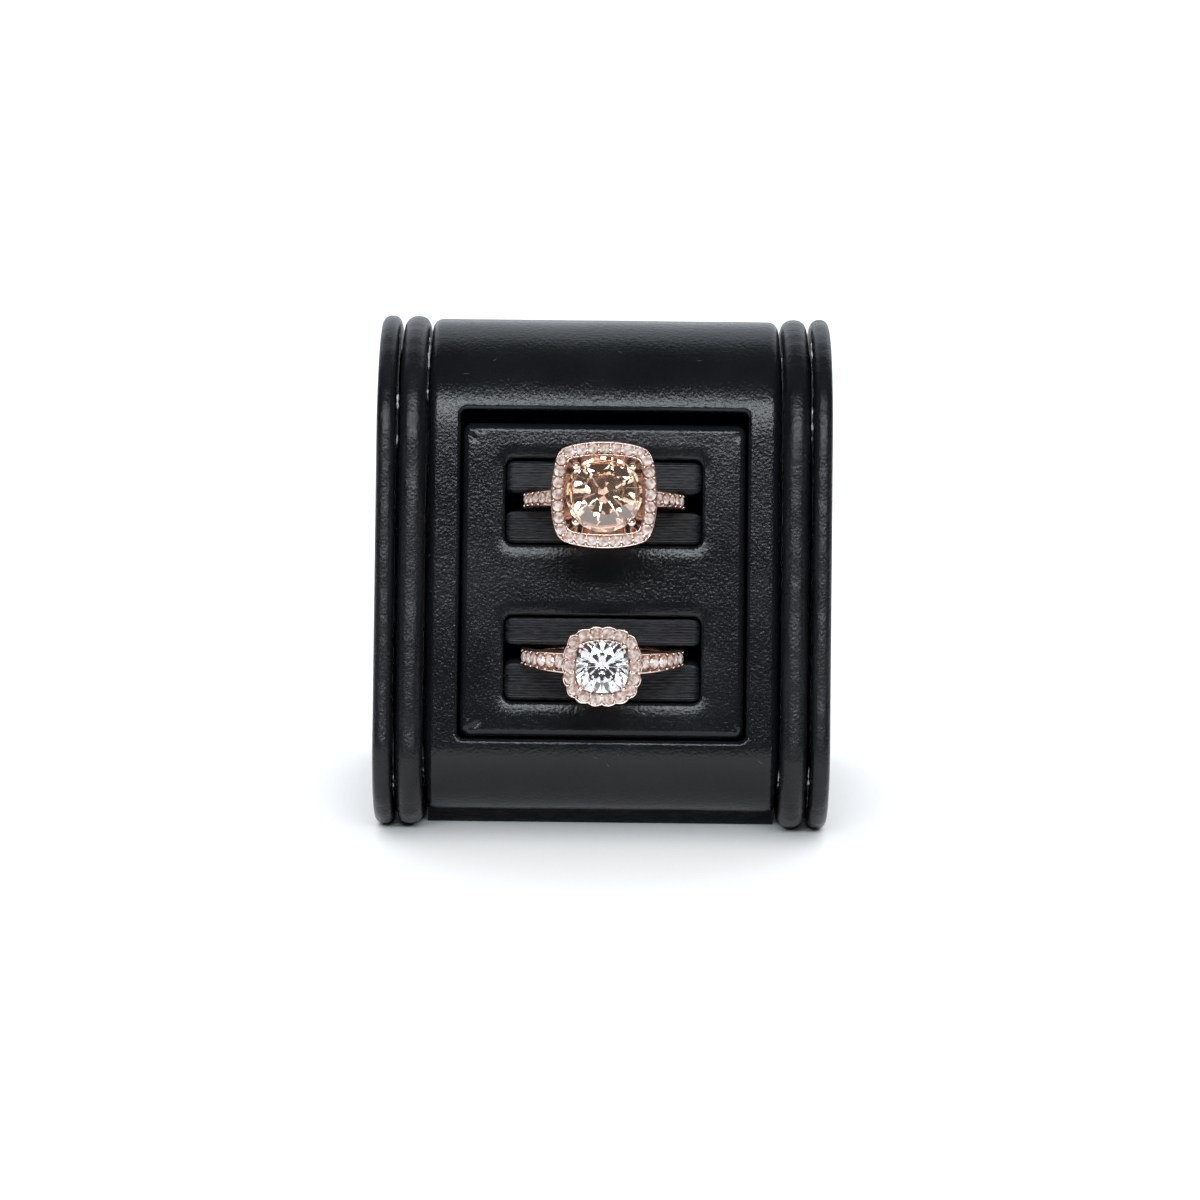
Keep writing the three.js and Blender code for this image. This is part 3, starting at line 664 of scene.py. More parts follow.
counts = (8, (50, 64))
lip_half, lip_corner = recess_half + RECESS_ROLL, RECESS_CORNER + RECESS_ROLL
outer = square_loop(patch_half, lip_half, lip_corner, *counts)
lip = rounded_loop(lip_half, lip_corner, *counts)
flat_rows = outer + np.linspace(0, 1, 7)[:, None, None] * (lip - outer)
rows = [body_skin(flat_rows[..., 0], recess_middle + flat_rows[..., 1], 0.0)]
for outside, depth in edge_roll(RECESS_ROLL, RECESS_DEPTH, 9)[1:]:
    edge = rounded_loop(recess_half + outside, RECESS_CORNER + outside, *counts)
    on_skin = body_skin(edge[:, 0], recess_middle + edge[:, 1], 0.0)
    rows.append((on_skin - depth * OUT)[None])
face_patch = np.concatenate(rows)

# The rest of the body starts and ends on the patch's outermost loop.
ROUND_STEPS = 230
low_steps = len(spread(1, 0.1, counts[0], counts[1][0])) - 1
side_x, side_up = outer[: low_steps + 1, 0], outer[low_steps:, 1]
side_up = side_up[: len(spread(1, 0.1, counts[0], counts[1][1]))]
behind = np.linspace(patch_half[1], body_belt.length - patch_half[1], ROUND_STEPS)
rest = body_skin(side_x, recess_middle + behind[:, None], 0.0)
all_round = recess_middle + np.concatenate([side_up[:-1], behind[:-1]])
roll = edge_roll(BODY_END_ROLL, 4 * MM, 3)
end_x = half_width - roll[:, :1]
ends = [(body_skin(sign * end_x, all_round[None], roll[:, 1:]), True) for sign in (-1, 1)]
grids = [(face_patch, True), (rest, False), *ends]
body_wrap = sheet_mesh("body_wrap_skin", grids, body_leather, recalc=True, thick=WRAP_T)
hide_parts("body_wrap")
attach(body_wrap, "display")
print("body wrap:", len(body_wrap.data.polygons), "faces")

# %% [markdown]
# ## Cheeks
#
# Each end of the stand has two padded boards, glued together. A padded board's edge is round and
# soft: the skin comes up the hidden side, over the edge and across the face. The shape is the
# cheek's own belt carried along a cross-section. The cross-section says, for each step, how far
# across it is and how far inside the outline. The face is closed by rows that shrink to the
# middle, and it is a little crowned by the padding. Leatherette gathers where it turns a tight
# corner, so the edge has small puckers across it that fade away on the straight runs.

# %% Cheeks
CHEEK_PROUD, CHEEK_TOP_ROLL = 2 * MM, 16.4 * MM
CHEEK_WRAP_T = 0.6 * MM
CHEEK_HEM = 4 * MM
CHEEK_CROWN = 0.25 * MM
CHEEK_SWELL, CHEEK_PUCKER = 0.2 * MM, 0.13 * MM
CHEEK_ROWS = 420


def cheek_section(thickness):
    """Rows (across, inset, share of the way to the middle) from the hem over the edge."""
    half = thickness / 2
    hem = np.linspace(CHEEK_HEM, half, 6)[:-1]
    angle = np.linspace(0, np.pi, 19)
    across = half * (1 - np.sign(np.cos(angle)) * np.abs(np.cos(angle)) ** 0.9)
    inset = half * (1 - np.sin(angle) ** 0.9)
    rows = [np.stack([np.zeros_like(hem), hem], -1), np.stack([across, inset], -1)]
    return np.concatenate(rows)


def cheek_grid(node, seed):
    """The skin of one cheek: its outline carried along its section, then closed to the middle."""
    low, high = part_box(node)
    left = high.x < 0
    hidden, direction = (high.x, -1) if left else (low.x, 1)
    belt = Belt(rolls_of(node, FOOT_ROLL + CHEEK_PROUD, HEEL_ROLL + CHEEK_PROUD, CHEEK_TOP_ROLL))
    distance = np.linspace(0, belt.length, CHEEK_ROWS + 1)[:-1]
    section = cheek_section(high.x - low.x)
    x = hidden + direction * section[:, :1]
    plain = belt.surface(x, distance[None], section[:, 1:])
    normals = belt.at(distance)[1]
    bend = np.linalg.norm(np.roll(normals, -2, 0) - np.roll(normals, 2, 0), axis=1)
    bend = np.convolve(np.tile(bend / bend.max(), 3), np.ones(15) / 15, "same")
    bend = bend[CHEEK_ROWS : 2 * CHEEK_ROWS]
    along = np.stack([distance, 0 * distance, 0 * distance], -1)
    bend = 0.35 + 0.65 * bend
    pucker = uneven(along, 2.1 * MM, seed) * bend + 0.5 * uneven(along, 4.3 * MM, seed + 1)
    over_edge = np.sin(np.pi * np.clip(section[:, 0] / (high.x - low.x), 0, 1))[:, None]
    swell = CHEEK_SWELL * uneven(plain, 11 * MM, seed + 2) + CHEEK_PUCKER * pucker * over_edge
    edge = belt.surface(x, distance[None], section[:, 1:] - swell * np.sign(over_edge + 1e-9))
    closing = np.linspace(0, 1, 24)[1:, None, None] ** 0.9
    centre = edge[-1].mean(0)
    face = edge[-1] + closing * (centre - edge[-1])
    crown = CHEEK_CROWN * (1 - (1 - closing[..., 0]) ** 3)
    crown = crown + 0.05 * MM * uneven(face, 12 * MM, seed + 3) * closing[..., 0] ** 0.5
    face[..., 0] += direction * np.minimum(crown, CHEEK_CROWN)
    grid = np.concatenate([edge, face])
    return grid[:, ::-1] if left else grid


CHEEKS = ["left_outer_cheek", "left_inner_cheek", "right_inner_cheek", "right_outer_cheek"]
cheek_wraps = []
for i, name in enumerate(CHEEKS):
    grid = cheek_grid(f"{name}_wrap", 20 + 10 * i)
    cheek = sheet_mesh(f"{name}_skin", [(grid, True)], cheek_leather, True, thick=CHEEK_WRAP_T)
    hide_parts(f"{name}_wrap")
    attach(cheek, "display")
    cheek_wraps.append(cheek)
print("cheeks:", [len(c.data.polygons) for c in cheek_wraps], "faces")

# %% [markdown]
# ## Pad cover
#
# The pad is a foam block with two slots, covered with leatherette. The cover is pulled over the
# pad's edges and tucked in at the slots, where it makes a soft roll. Each half of the face is a
# ring patch round its slot, and the two halves meet on the middle line. A skirt of loops carries
# the outer edge round and down. The foam makes the face swell a little between the edges, and
# the cover is bunched at the corners, where two folds meet.

# %% Pad and slot sizes
PAD_ROLL, PAD_CORNER = 1.0 * MM, 1.2 * MM
SLOT_ROLL, SLOT_DIP, SLOT_ROUND = 1.9 * MM, 0.13 * MM, 0.4 * MM
SLOT_CORNER = 1.1 * MM
LIP_CLEAR = 0.1 * MM
SLOT_LINING = 3.4 * MM
PAD_WRAP_T = 0.6 * MM
PAD_CROWN = 0.13 * MM
PAD_HEM = 3 * MM


def soft_edge(width, dip, rounding, depth):
    """Rows over a soft edge, as (distance outside the window, depth below the face): a shallow dip
    towards the window, then a small round that takes the dip's slope on, and then the wall."""
    share = np.linspace(0, 1, 10)
    dips = np.stack([width - share * (width - rounding), dip * share**2], -1)
    lean = math.atan(2 * dip / (width - rounding))
    radius = rounding / (1 - math.sin(lean))
    angle = np.linspace(lean, np.pi / 2, 9)[1:]
    across = rounding - radius * (np.sin(angle) - math.sin(lean))
    down = dip + radius * (math.cos(lean) - np.cos(angle))
    wall = np.linspace(down[-1], depth, 6)[1:]
    rows = [dips, np.stack([across, down], -1), np.stack([np.zeros_like(wall), wall], -1)]
    return np.concatenate(rows)


pad_deep = FACE_OUT - reach("pad_wrap", OUT)[0]
pad_centre = (pad_low + pad_high) / 2
slots = {}
for name in ("upper", "lower"):
    top = reach(f"{name}_slot_top_lip_sleeve", UP)[1] + LIP_CLEAR
    foot = reach(f"{name}_slot_bottom_lip_sleeve", UP)[0] - LIP_CLEAR
    side = reach(f"{name}_slot_top_lip_sleeve", ACROSS)[1] + LIP_CLEAR
    slots[name] = {"centre": (top + foot) / 2, "half": np.array([side, (top - foot) / 2])}
print("slots", [(2 * slot["half"] / MM).round(1).tolist() for slot in slots.values()], "mm")

# %% The pad's face
# Folds: start and end as shares of the pad's half sizes, then width and depth in mm.
PAD_FOLDS = [
    ((-1.0, -1.0), (-0.84, -0.9), 0.32, 0.34),
    ((-1.0, -0.94), (-0.93, -0.87), 0.3, 0.2),
    ((-0.98, 1.0), (-0.84, 0.93), 0.4, 0.3),
    ((-1.0, 0.94), (-0.9, 0.87), 0.4, 0.24),
    ((1.0, 0.97), (0.91, 0.91), 0.5, 0.18),
    ((1.0, -0.97), (0.92, -0.91), 0.35, 0.2),
]


def pad_folds(place):
    """Creases: a valley along each fold with a soft ridge beside it, fading towards its end."""
    total = np.zeros(place.shape[:-1])
    for start, end, width, depth in PAD_FOLDS:
        first, run = np.array(start) * pad_half, np.subtract(end, start) * pad_half
        from_first = place - first
        share = np.clip(from_first @ run / (run @ run), 0, 1)
        past = np.linalg.norm(from_first - share[..., None] * run, axis=-1) / (width * MM)
        beside = (from_first[..., 0] * run[1] - from_first[..., 1] * run[0]) / np.hypot(*run)
        ridge = 1 - 1.1 * np.tanh(beside / (width * MM))
        total += depth * MM * np.exp(-(past**2)) * (1 - share) * ridge
    return total


def pad_face(place, depth=0.0):
    """A point of the cover, its place given from the pad's middle. The face lies lowest along its
    outer edges, has shallow waves, and is creased at the corners."""
    side, end = np.moveaxis(np.abs(place / pad_half), -1, 0)
    flat = np.concatenate([place, 0 * place[..., :1]], -1)
    waves = 0.035 * (1 + uneven(flat, 10 * MM, 71)) + 0.01 * uneven(flat, 3.4 * MM, 72)
    drop = PAD_CROWN * (side**5 + end**8) / 2 + waves * MM + pad_folds(place)
    return on_face(place[..., 0], pad_centre + place[..., 1], FACE_OUT - drop - depth)


def round_outside(loop, half, radius, roll, reach_in=3 * MM):
    """The rounded outline that surrounds a rectangle's loop at a distance roll: the places along
    each side are drawn out near the corner, so that they share the corner's arc."""
    away = (half - roll) - np.abs(loop)
    upright = away[:, 0] < away[:, 1]
    distance = away.max(1)
    longest = np.pi / 4 * radius + reach_in - (radius - roll)
    near = distance * longest / reach_in
    along = np.where(distance < reach_in, near, longest + distance - reach_in)
    angle = np.pi / 4 - np.minimum(along / radius, np.pi / 4)
    run = np.maximum(along - np.pi / 4 * radius, 0)
    across = np.stack([radius * np.cos(angle), radius * np.sin(angle) - run], -1) - radius
    across[~upright] = across[~upright][:, ::-1]
    return np.sign(loop) * (half + across)


print("folds:", len(PAD_FOLDS))

# %% Pad cover's skin
counts = (24, (60, 30))
flat_half = pad_half - PAD_ROLL
grids, outlines = [], []
for name, sign in (("lower", -1), ("upper", 1)):
    slot = slots[name]
    slot_up = np.array([0, slot["centre"] - pad_centre])
    half, corner = slot["half"] + SLOT_ROLL, SLOT_CORNER + SLOT_ROLL
    outer = square_loop(flat_half * [1, 0.5], half, corner, *counts)
    outer = outer + [0, sign * flat_half[1] / 2]
    lip = rounded_loop(half, corner, *counts) + slot_up
    rows = [pad_face(outer + np.linspace(0, 1, 22)[:, None, None] * (lip - outer))]
    for outside, depth in soft_edge(SLOT_ROLL, SLOT_DIP, SLOT_ROUND, SLOT_LINING)[1:]:
        edge = rounded_loop(slot["half"] + outside, SLOT_CORNER + outside, *counts)
        rows.append(pad_face(edge + slot_up, depth)[None])
    grids.append((np.concatenate(rows), True))
    outlines.append(outer)

# The pad's outline is the lower half's, then the upper half's, and the lower half's again.
along_x, along_y = (len(spread(1, 0.1, counts[0], steps)) - 1 for steps in counts[1])
lower, upper = outlines
outline = [lower[: along_x + along_y], upper[along_x:], lower[2 * along_x + along_y :]]
outline = np.concatenate(outline)
outside = round_outside(outline, pad_half, PAD_CORNER, PAD_ROLL)
skirt = []
for angle in np.linspace(0, np.pi / 2, 8):
    shifted = outline + np.sin(angle) * (outside - outline)
    skirt.append(pad_face(outline, PAD_ROLL * (1 - np.cos(angle))))
    skirt[-1] += (shifted - outline) @ np.stack([ACROSS, UP])
pad_edge = skirt[-1]
foot_of_wall = on_face(outside[:, 0], pad_centre + outside[:, 1], FACE_OUT - pad_deep)
skirt += [pad_edge + share * (foot_of_wall - pad_edge) for share in np.linspace(0, 1, 16)[1:]]
hem = on_face(*((1 - PAD_HEM / pad_half) * outside + [0, pad_centre]).T, FACE_OUT - pad_deep)
skirt.append(hem)
grids.append((np.stack(skirt)[::-1], True))
pad_cover = sheet_mesh("pad_cover", grids, pad_leather, recalc=True, thick=PAD_WRAP_T)
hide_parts("pad_wrap")
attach(pad_cover, "display")
print("pad cover:", len(pad_cover.data.polygons), "faces")

# %% [markdown]
# ## Foam lips
#
# Two foam lips close each slot and nip the ring's shank between them. Their fabric has ribs that
# run along the slot, four tenths of a millimetre apart. A lip is its section carried along the
# slot: the section is a rounded block, and the ribs are a ripple square to it. The nip follows the
# ring's own plane, so the lower lips slant. The skin sags a little here and there, and both ends
# are rounded off and reach almost to the ends of the slot.

# %% Sizes of the lips and places of the rings
LIP_ROUND, LIP_REAR_ROUND = 1.25 * MM, 0.8 * MM
LIP_END_ROOM, LIP_END_ROUND = 0.04 * MM, 1.3 * MM
RIB_PITCH = 0.4 * MM
LIP_STEPS = 60
SHANK_AT_NIP, NIP_CLEAR = 0.92 * MM, 0.15 * MM
RIB_DEPTH, WORN_RIB_DEPTH = 0.19 * MM, 0.09 * MM
LIP_SAG = 0.05 * MM
MOST_ROUND = 0.46  # the largest share of a lip's height that one rounded corner takes


def ring_frame(name):
    """Where a ring sits: its centre, and its directions across, along the finger and out."""
    out = np.array(joints[f"{name}_ring_lift"]["axis"], float)
    finger = np.cross(out, ACROSS)
    band = f"{name}_ring_band"
    bore_up = reach(band, finger)
    outer_r = reach(band, ACROSS)[1]
    centre = (reach(band, out)[0] + outer_r) * out + sum(bore_up) / 2 * finger
    return {"centre": centre, "axes": np.stack([ACROSS, finger, out]), "outer_r": outer_r}


RINGS = {name: ring_frame(name) for name in ("upper", "lower")}
print("rings", [round(2 * ring["outer_r"] / MM, 2) for ring in RINGS.values()], "mm outside")

# %% A lip's shape


def section_of(corners, spacing):
    """A closed section through corners (up, out, radius), as points and outward normals: each
    corner is an arc, and straight runs join them, all at one spacing."""
    points, normals = [], []
    for i, (up, out, radius) in enumerate(corners):
        before, after = corners[i - 1], corners[(i + 1) % len(corners)]
        runs = ((before, corners[i]), (corners[i], after))
        starts = [math.atan2(b[1] - a[1], b[0] - a[0]) for a, b in runs]
        turn = (starts[1] - starts[0]) % (2 * np.pi)
        steps = max(2, round(turn * radius / spacing) + 1)
        angles = starts[0] - np.pi / 2 + np.linspace(0, turn, steps)
        normal = np.stack([np.cos(angles), np.sin(angles)], -1)
        arc = np.array([up, out]) + radius * normal
        end = np.array(after[:2]) + after[2] * normal[-1]
        count = max(2, round(np.linalg.norm(end - arc[-1]) / spacing))
        share = np.linspace(0, 1, count + 1)[1:-1, None]
        points += [arc, arc[-1] + share * (end - arc[-1])]
        normals += [normal, np.repeat(normal[-1:], len(share), 0)]
    return np.concatenate(points), np.concatenate(normals)


def lip_grid(name, edge, seed):
    """One lip: its section along the slot, from end to end, with both ends closed."""
    side = 1 if edge == "top" else -1
    sleeve = f"{name}_slot_{edge}_lip_sleeve"
    slot, ring = slots[name], RINGS[name]
    front, rear = reach(sleeve, OUT)[1], reach(sleeve, OUT)[0]
    wall = slot["centre"] + side * (slot["half"][1] - LIP_CLEAR)
    tilt = math.asin(np.clip(ring["axes"][2] @ UP, -1, 1))
    shank = (reach(f"{name}_ring_band", ring["axes"][1]) @ np.array([-1, 1])) / 2
    shank = min(shank, SHANK_AT_NIP)

    def nip(out):
        """Height of the nip at a depth: the shank's side, along the ring's own plane."""
        centre = ring["centre"]
        return centre @ UP + math.tan(tilt) * (out - centre @ OUT) + side * (shank + NIP_CLEAR)

    corners = []
    for out, into, r in ((front, -1, LIP_ROUND), (rear, 1, LIP_REAR_ROUND)):
        r = min(r, MOST_ROUND * abs(wall - nip(out)))
        z = out + into * r
        corners.append([(nip(z) + side * r, z, r), (wall - side * r, z, r)])
    (front_nip, front_wall), (rear_nip, rear_wall) = corners
    order = [front_nip, rear_nip, rear_wall, front_wall]
    points, normals = section_of(order if side > 0 else order[::-1], RIB_PITCH / 7)
    gaps = np.linalg.norm(np.roll(points, -1, 0) - points, axis=1)
    along = np.concatenate([[0], np.cumsum(gaps)[:-1]])
    ribs = round(gaps.sum() / RIB_PITCH)
    phase = 2 * np.pi * ribs * along / gaps.sum()
    half = slot["half"][0] - LIP_END_ROOM
    even = np.linspace(-1, 1, LIP_STEPS)
    x = half * (even + np.sin(np.pi / 2 * even)) / 2
    from_end = np.clip((half - np.abs(x)) / LIP_END_ROUND, 0, 1)
    end_round = LIP_END_ROUND * 0.6 * (1 - np.sqrt(1 - (1 - from_end) ** 2))
    depth = WORN_RIB_DEPTH if (name, edge) == ("upper", "top") else RIB_DEPTH
    wander = uneven(np.stack([x, 0 * x, 0 * x], -1), 8 * MM, seed)
    ripple = depth * (np.abs(np.sin((phase[None] + 0.9 * wander[:, None]) / 2)) - 1)
    sag = LIP_SAG * (uneven(np.stack([x, 0 * x + 1, 0 * x], -1), 11 * MM, seed + 1) - 1)
    inset = ripple + (sag - end_round)[:, None]
    place = points + inset[..., None] * normals
    rows = on_face(np.broadcast_to(x[:, None], inset.shape), place[..., 0], place[..., 1])
    ends = []
    for row in (rows[0], rows[-1]):
        centre = row.mean(0)
        ends.append(centre + np.array([0, 0.5, 0.93])[:, None, None] * (row - centre))
    return np.concatenate([ends[0], rows, ends[1][::-1]])


print("ribs", round(RIB_PITCH / MM, 2), "mm apart")

# %% The four lips
lips = []
for i, (name, edge) in enumerate([(n, e) for n in ("upper", "lower") for e in ("top", "bottom")]):
    grid = lip_grid(name, edge, 90 + 5 * i)
    lip = sheet_mesh(f"{name}_slot_{edge}_lip", [(grid, True)], ribbed, recalc=True)
    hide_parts(f"{name}_slot_{edge}_lip_sleeve", f"{name}_slot_{edge}_lip_foam")
    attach(lip, "display")
    lips.append(lip)
print("lips:", [len(lip.data.polygons) for lip in lips], "faces")

# %% [markdown]
# ## Glue and lint
#
# Two small things make the stand look handled. Where the cheeks meet each other and the body, dried
# glue glints in places at the bottom of the groove: it is a thread with a rounded, uneven section
# that swells and dies away at random. Lint lies on the skin: short curved fibres, each a thin tube
# of a few sides that follows a gentle arc just above the surface.

# %% Glue in the grooves
glue_colours = (0.10, 0.10, 0.11, 1), (0.42, 0.43, 0.45, 1)
GLUE_BEAD = 0.16 * MM
GLUE_DEEP = (-1.1 * MM, 0.15 * MM)  # below the body's skin, for the outer and the inner groove

# Where glue shows: sign of x, which groove (0 outer, 1 inner), first and last height up the face.
GLUE_RUNS = [
    (-1, 0, 42, 56), (-1, 1, 49, 60), (-1, 1, 1, 6), (-1, 0, -1, 8),
    (1, 0, 43, 58), (1, 0, -2, 4), (1, 1, 50, 58), (1, 1, 0, 3),
]


def groove(sign, which):
    """Where a groove is across: half-way between its two neighbours."""
    side = "left" if sign < 0 else "right"
    outer, inner = (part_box(f"{side}_{n}_cheek_wrap") for n in ("outer", "inner"))
    if which == 0:
        pair = (outer[1].x, inner[0].x) if sign < 0 else (outer[0].x, inner[1].x)
    else:
        pair = (inner[1].x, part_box("body_wrap")[0].x) if sign < 0 else (inner[0].x, half_width)
    return sum(pair) / 2


def glue_thread(sign, which, first, last, seed, steps=170, sides=8):
    """One run of glue: a tube along the groove, its thickness a random wave cut off at nothing."""
    distance = np.linspace(first, last, steps) * MM
    along = np.stack([distance, 0 * distance, 0 * distance], -1)
    swell = 0.6 * uneven(along, 0.8 * MM, seed) + 0.7 * uneven(along, 3.7 * MM, seed + 1)
    fade = np.minimum(1, np.minimum(distance - distance[0], distance[-1] - distance) / (1.5 * MM))
    radius = GLUE_BEAD * np.clip(swell * 2.4, 0.04, 1) * np.clip(fade, 0.03, 1)
    angle = np.linspace(0, 2 * np.pi, sides + 1)[:-1]
    wander = 0.05 * MM * uneven(along, 1.7 * MM, seed + 2)
    x = groove(sign, which) + wander[:, None] + radius[:, None] * np.cos(angle)
    sunk = 0.4 * MM * (1 - radius / GLUE_BEAD)
    depth = GLUE_DEEP[which] + sunk[:, None] - 0.7 * radius[:, None] * np.sin(angle)
    tube = body_belt.surface(x, distance[:, None], depth)
    ends = [tube[i].mean(0) + 0 * tube[i] for i in (0, -1)]
    return np.concatenate([ends[:1], tube, ends[1:]])


glue = fibrous("dried glue", *glue_colours, 2500.0, 1.0, 0.05, Roughness=0.16, IOR=1.45)
threads = [(glue_thread(*run, 200 + 5 * i), True) for i, run in enumerate(GLUE_RUNS)]
glue_piece = sheet_mesh("groove_glue", threads, glue, recalc=True)
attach(glue_piece, "display")
print("glue:", len(glue_piece.data.polygons), "faces")

# %% Lint
LINT_TRIES, LINT_COUNT, LINT_SIDES, LINT_STEPS = 60, 26, 4, 9


def lint_fibre(seed):
    """One fibre: an arc on the body's skin, from a random place in a random direction."""
    random = np.random.default_rng(seed)
    place = np.array([random.uniform(-22, 22), random.uniform(2, 58)]) * MM
    heading, bend = random.uniform(0, np.pi), random.uniform(-1.8, 1.8)
    length = random.uniform(0.35, 1.1) * MM
    share = np.linspace(0, 1, LINT_STEPS)
    turned = heading + bend * (share - 0.5)
    step = np.stack([np.cos(turned), np.sin(turned)], -1) * length / LINT_STEPS
    path = place + np.cumsum(step, 0)
    radius = 0.012 * MM * np.sqrt(np.clip(4 * share * (1 - share), 0.1, 1))[:, None]
    angle = np.linspace(0, 2 * np.pi, LINT_SIDES + 1)[:-1]
    beside = np.stack([-np.sin(turned), np.cos(turned)], -1)
    across = path[:, None] + (radius * np.cos(angle))[..., None] * beside[:, None]
    lift = -0.03 * MM - body_unevenness(body_belt.surface(path[:, 0], path[:, 1]))[:, None]
    tube = body_belt.surface(across[..., 0], across[..., 1], lift - radius * np.sin(angle))
    ends = [tube[i].mean(0) + 0 * tube[i] for i in (0, -1)]
    return np.concatenate([ends[:1], tube, ends[1:]])


def clear_of_recess(fibre):
    """Whether a fibre lies on the skin, and not over the window for the pad."""
    middle_of_fibre = fibre.mean((0, 1))
    up = middle_of_fibre @ UP
    beside = abs(middle_of_fibre[0]) > recess_half[0] + MM
    return beside or not recess_low - MM < up < recess_high + MM


lint_colours = (0.08, 0.085, 0.095, 1), (0.28, 0.29, 0.31, 1)
lint_finish = fibrous("lint", *lint_colours, 6000.0, 1.0, 0.002, Roughness=0.7)
tries = [lint_fibre(400 + i) for i in range(LINT_TRIES)]
lint_grids = [(fibre, True) for fibre in tries if clear_of_recess(fibre)][:LINT_COUNT]
lint = sheet_mesh("lint", lint_grids, lint_finish, recalc=True, merge=1e-7)
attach(lint, "display")
print("lint:", len(lint_grids), "fibres")

# %% [markdown]
# ## Gold and stones
#
# Rose gold is gold with copper. Polished, it mirrors the room and colours what it mirrors, so its
# shader is a plain metal. A file and a buff leave fine lines and a faint cloudiness, which is all
# its nodes add. The big stones are clear glass shaders with a diamond's strong bending of light:
# their look comes from their real facets, which send light back from all over the room. A few
# hundredths less than full transmission stand for the haze that handling leaves on a stone. The
# small stones are mostly surface, because at their size the eye sees glints and not depth. Their
# colour is painted reflection: a fine noise moves it between a white that stands for the light
# their facets send back and a dark brownish gold that stands for the gold and the dark facets
# they mirror, patch by patch across every stone.

# %% Gold and stones
polish, polish_in, polish_out = new_group(
    "polish marks",
    {"Scale": (FLOAT, 900.0), "Low": (FLOAT, 0.0), "High": (FLOAT, 0.05)},
    {"Roughness": (FLOAT, None), "Height": (FLOAT, None), "Mask": (FLOAT, None)},
)
polish_places = node(polish, "ShaderNodeTexCoord").outputs["Object"]
polish_lines = node(polish, "ShaderNodeMapping", {"Vector": polish_places, "Scale": (0.15, 1, 1)})
line_scale = maths(polish, "MULTIPLY", polish_in.outputs["Scale"], 6.0)
line_height = noise(polish, polish_lines.outputs["Vector"], line_scale, 3.0)
cloud = noise(polish, polish_places, polish_in.outputs["Scale"])
polish.links.new(line_height, polish_out.inputs["Height"])
polish.links.new(ramp(polish, cloud, 0.35, 0.65), polish_out.inputs["Mask"])
polish_rough = ramp(polish, cloud, 0.3, 0.7, polish_in.outputs["Low"], polish_in.outputs["High"])
polish.links.new(polish_rough, polish_out.inputs["Roughness"])


def polished(name, colours, scale, rough, depth=0.0, **values):
    """A polished finish: two colours that drift into each other, and fine polishing marks."""
    material, tree, shader = new_material(name, **values)
    marks = use_group(tree, polish, Scale=scale, Low=rough[0], High=rough[1])
    tree.links.new(mixed(tree, marks["Mask"], *colours), shader.inputs["Base Color"])
    tree.links.new(marks["Roughness"], shader.inputs["Roughness"])
    if depth:
        bumped(tree, shader, marks["Height"], depth)
    return material


gold_colours = ((0.97, 0.70, 0.58, 1), (1.0, 0.77, 0.66, 1))
rose_gold = polished("rose gold", gold_colours, 500.0, (0.10, 0.18), 0.004, Metallic=1.0)
DIAMOND = {"IOR": 2.3}
champagne_colours = ((1.0, 0.60, 0.40, 1), (1.0, 0.74, 0.54, 1))
champagne_glass = {**DIAMOND, "Transmission Weight": 0.968}
champagne = polished("champagne stone", champagne_colours, 300.0, (0.0, 0.02), **champagne_glass)
clear_colours = ((0.97, 0.97, 1.0, 1), (1.0, 0.98, 1.0, 1))
clear_glass = {**DIAMOND, "Transmission Weight": 0.985}
clear = polished("clear stone", clear_colours, 300.0, (0.0, 0.02), **clear_glass)
# Painted reflections: the dark brownish gold stands for the gold setting and the dark facets that a
# small stone mirrors, and the white for the light its facets send back; a fine noise mixes them.
small_stone_painted_reflections = ((0.50, 0.26, 0.18, 1), (1.0, 0.97, 0.94, 1))
small_glass = {**DIAMOND, "Transmission Weight": 0.3, "Metallic": 0.1}
small_painted_reflection_stone = polished("small stone with painted reflections", small_stone_painted_reflections, 2300.0, (0.0, 0.03), **small_glass)
print("gold and stones made")

# %% [markdown]
# ## Cut stones
#
# A brilliant is made of rings of corners: eight round the table, eight half-way down the crown,
# sixteen above and below the girdle, eight on the pavilion and one at the point. Kite facets join
# a table corner to the girdle, stars fill in between them, and narrow halves meet the girdle. All
# rings share one outline, given as a factor of the radius by angle: 1 for a round stone, and more
# at the corners for a cushion. Small stones have the same form with fewer facets.

# %% Cut stones


def outline_factor(angle, power):
    """How far a rounded square reaches at an angle, against its half width; power 2 is a circle."""
    return (np.abs(np.cos(angle)) ** power + np.abs(np.sin(angle)) ** power) ** (-1 / power)


def bowed_factor(angle, bow, sharp=17):
    """The same for a cushion with bowed sides: each side is an arc whose centre lies bow half
    widths behind the middle, and the four meet in corners that a high power rounds off."""
    total = 0
    for quarter in np.arange(4) * np.pi / 2:
        c, s = np.cos(angle - quarter), np.sin(angle - quarter)
        total = total + (np.sqrt((bow + 1) ** 2 - (bow * s) ** 2) - bow * c) ** -float(sharp)
    return total ** (-1 / sharp)


def stone_ring(count, offset, radius, z, power=2.0):
    """count corners at a radius and height, turned by offset steps."""
    angle = (np.arange(count) + offset) * 2 * np.pi / count
    r = radius * outline_factor(angle, power)
    return np.stack([r * np.cos(angle), r * np.sin(angle), np.full(count, z)], -1)


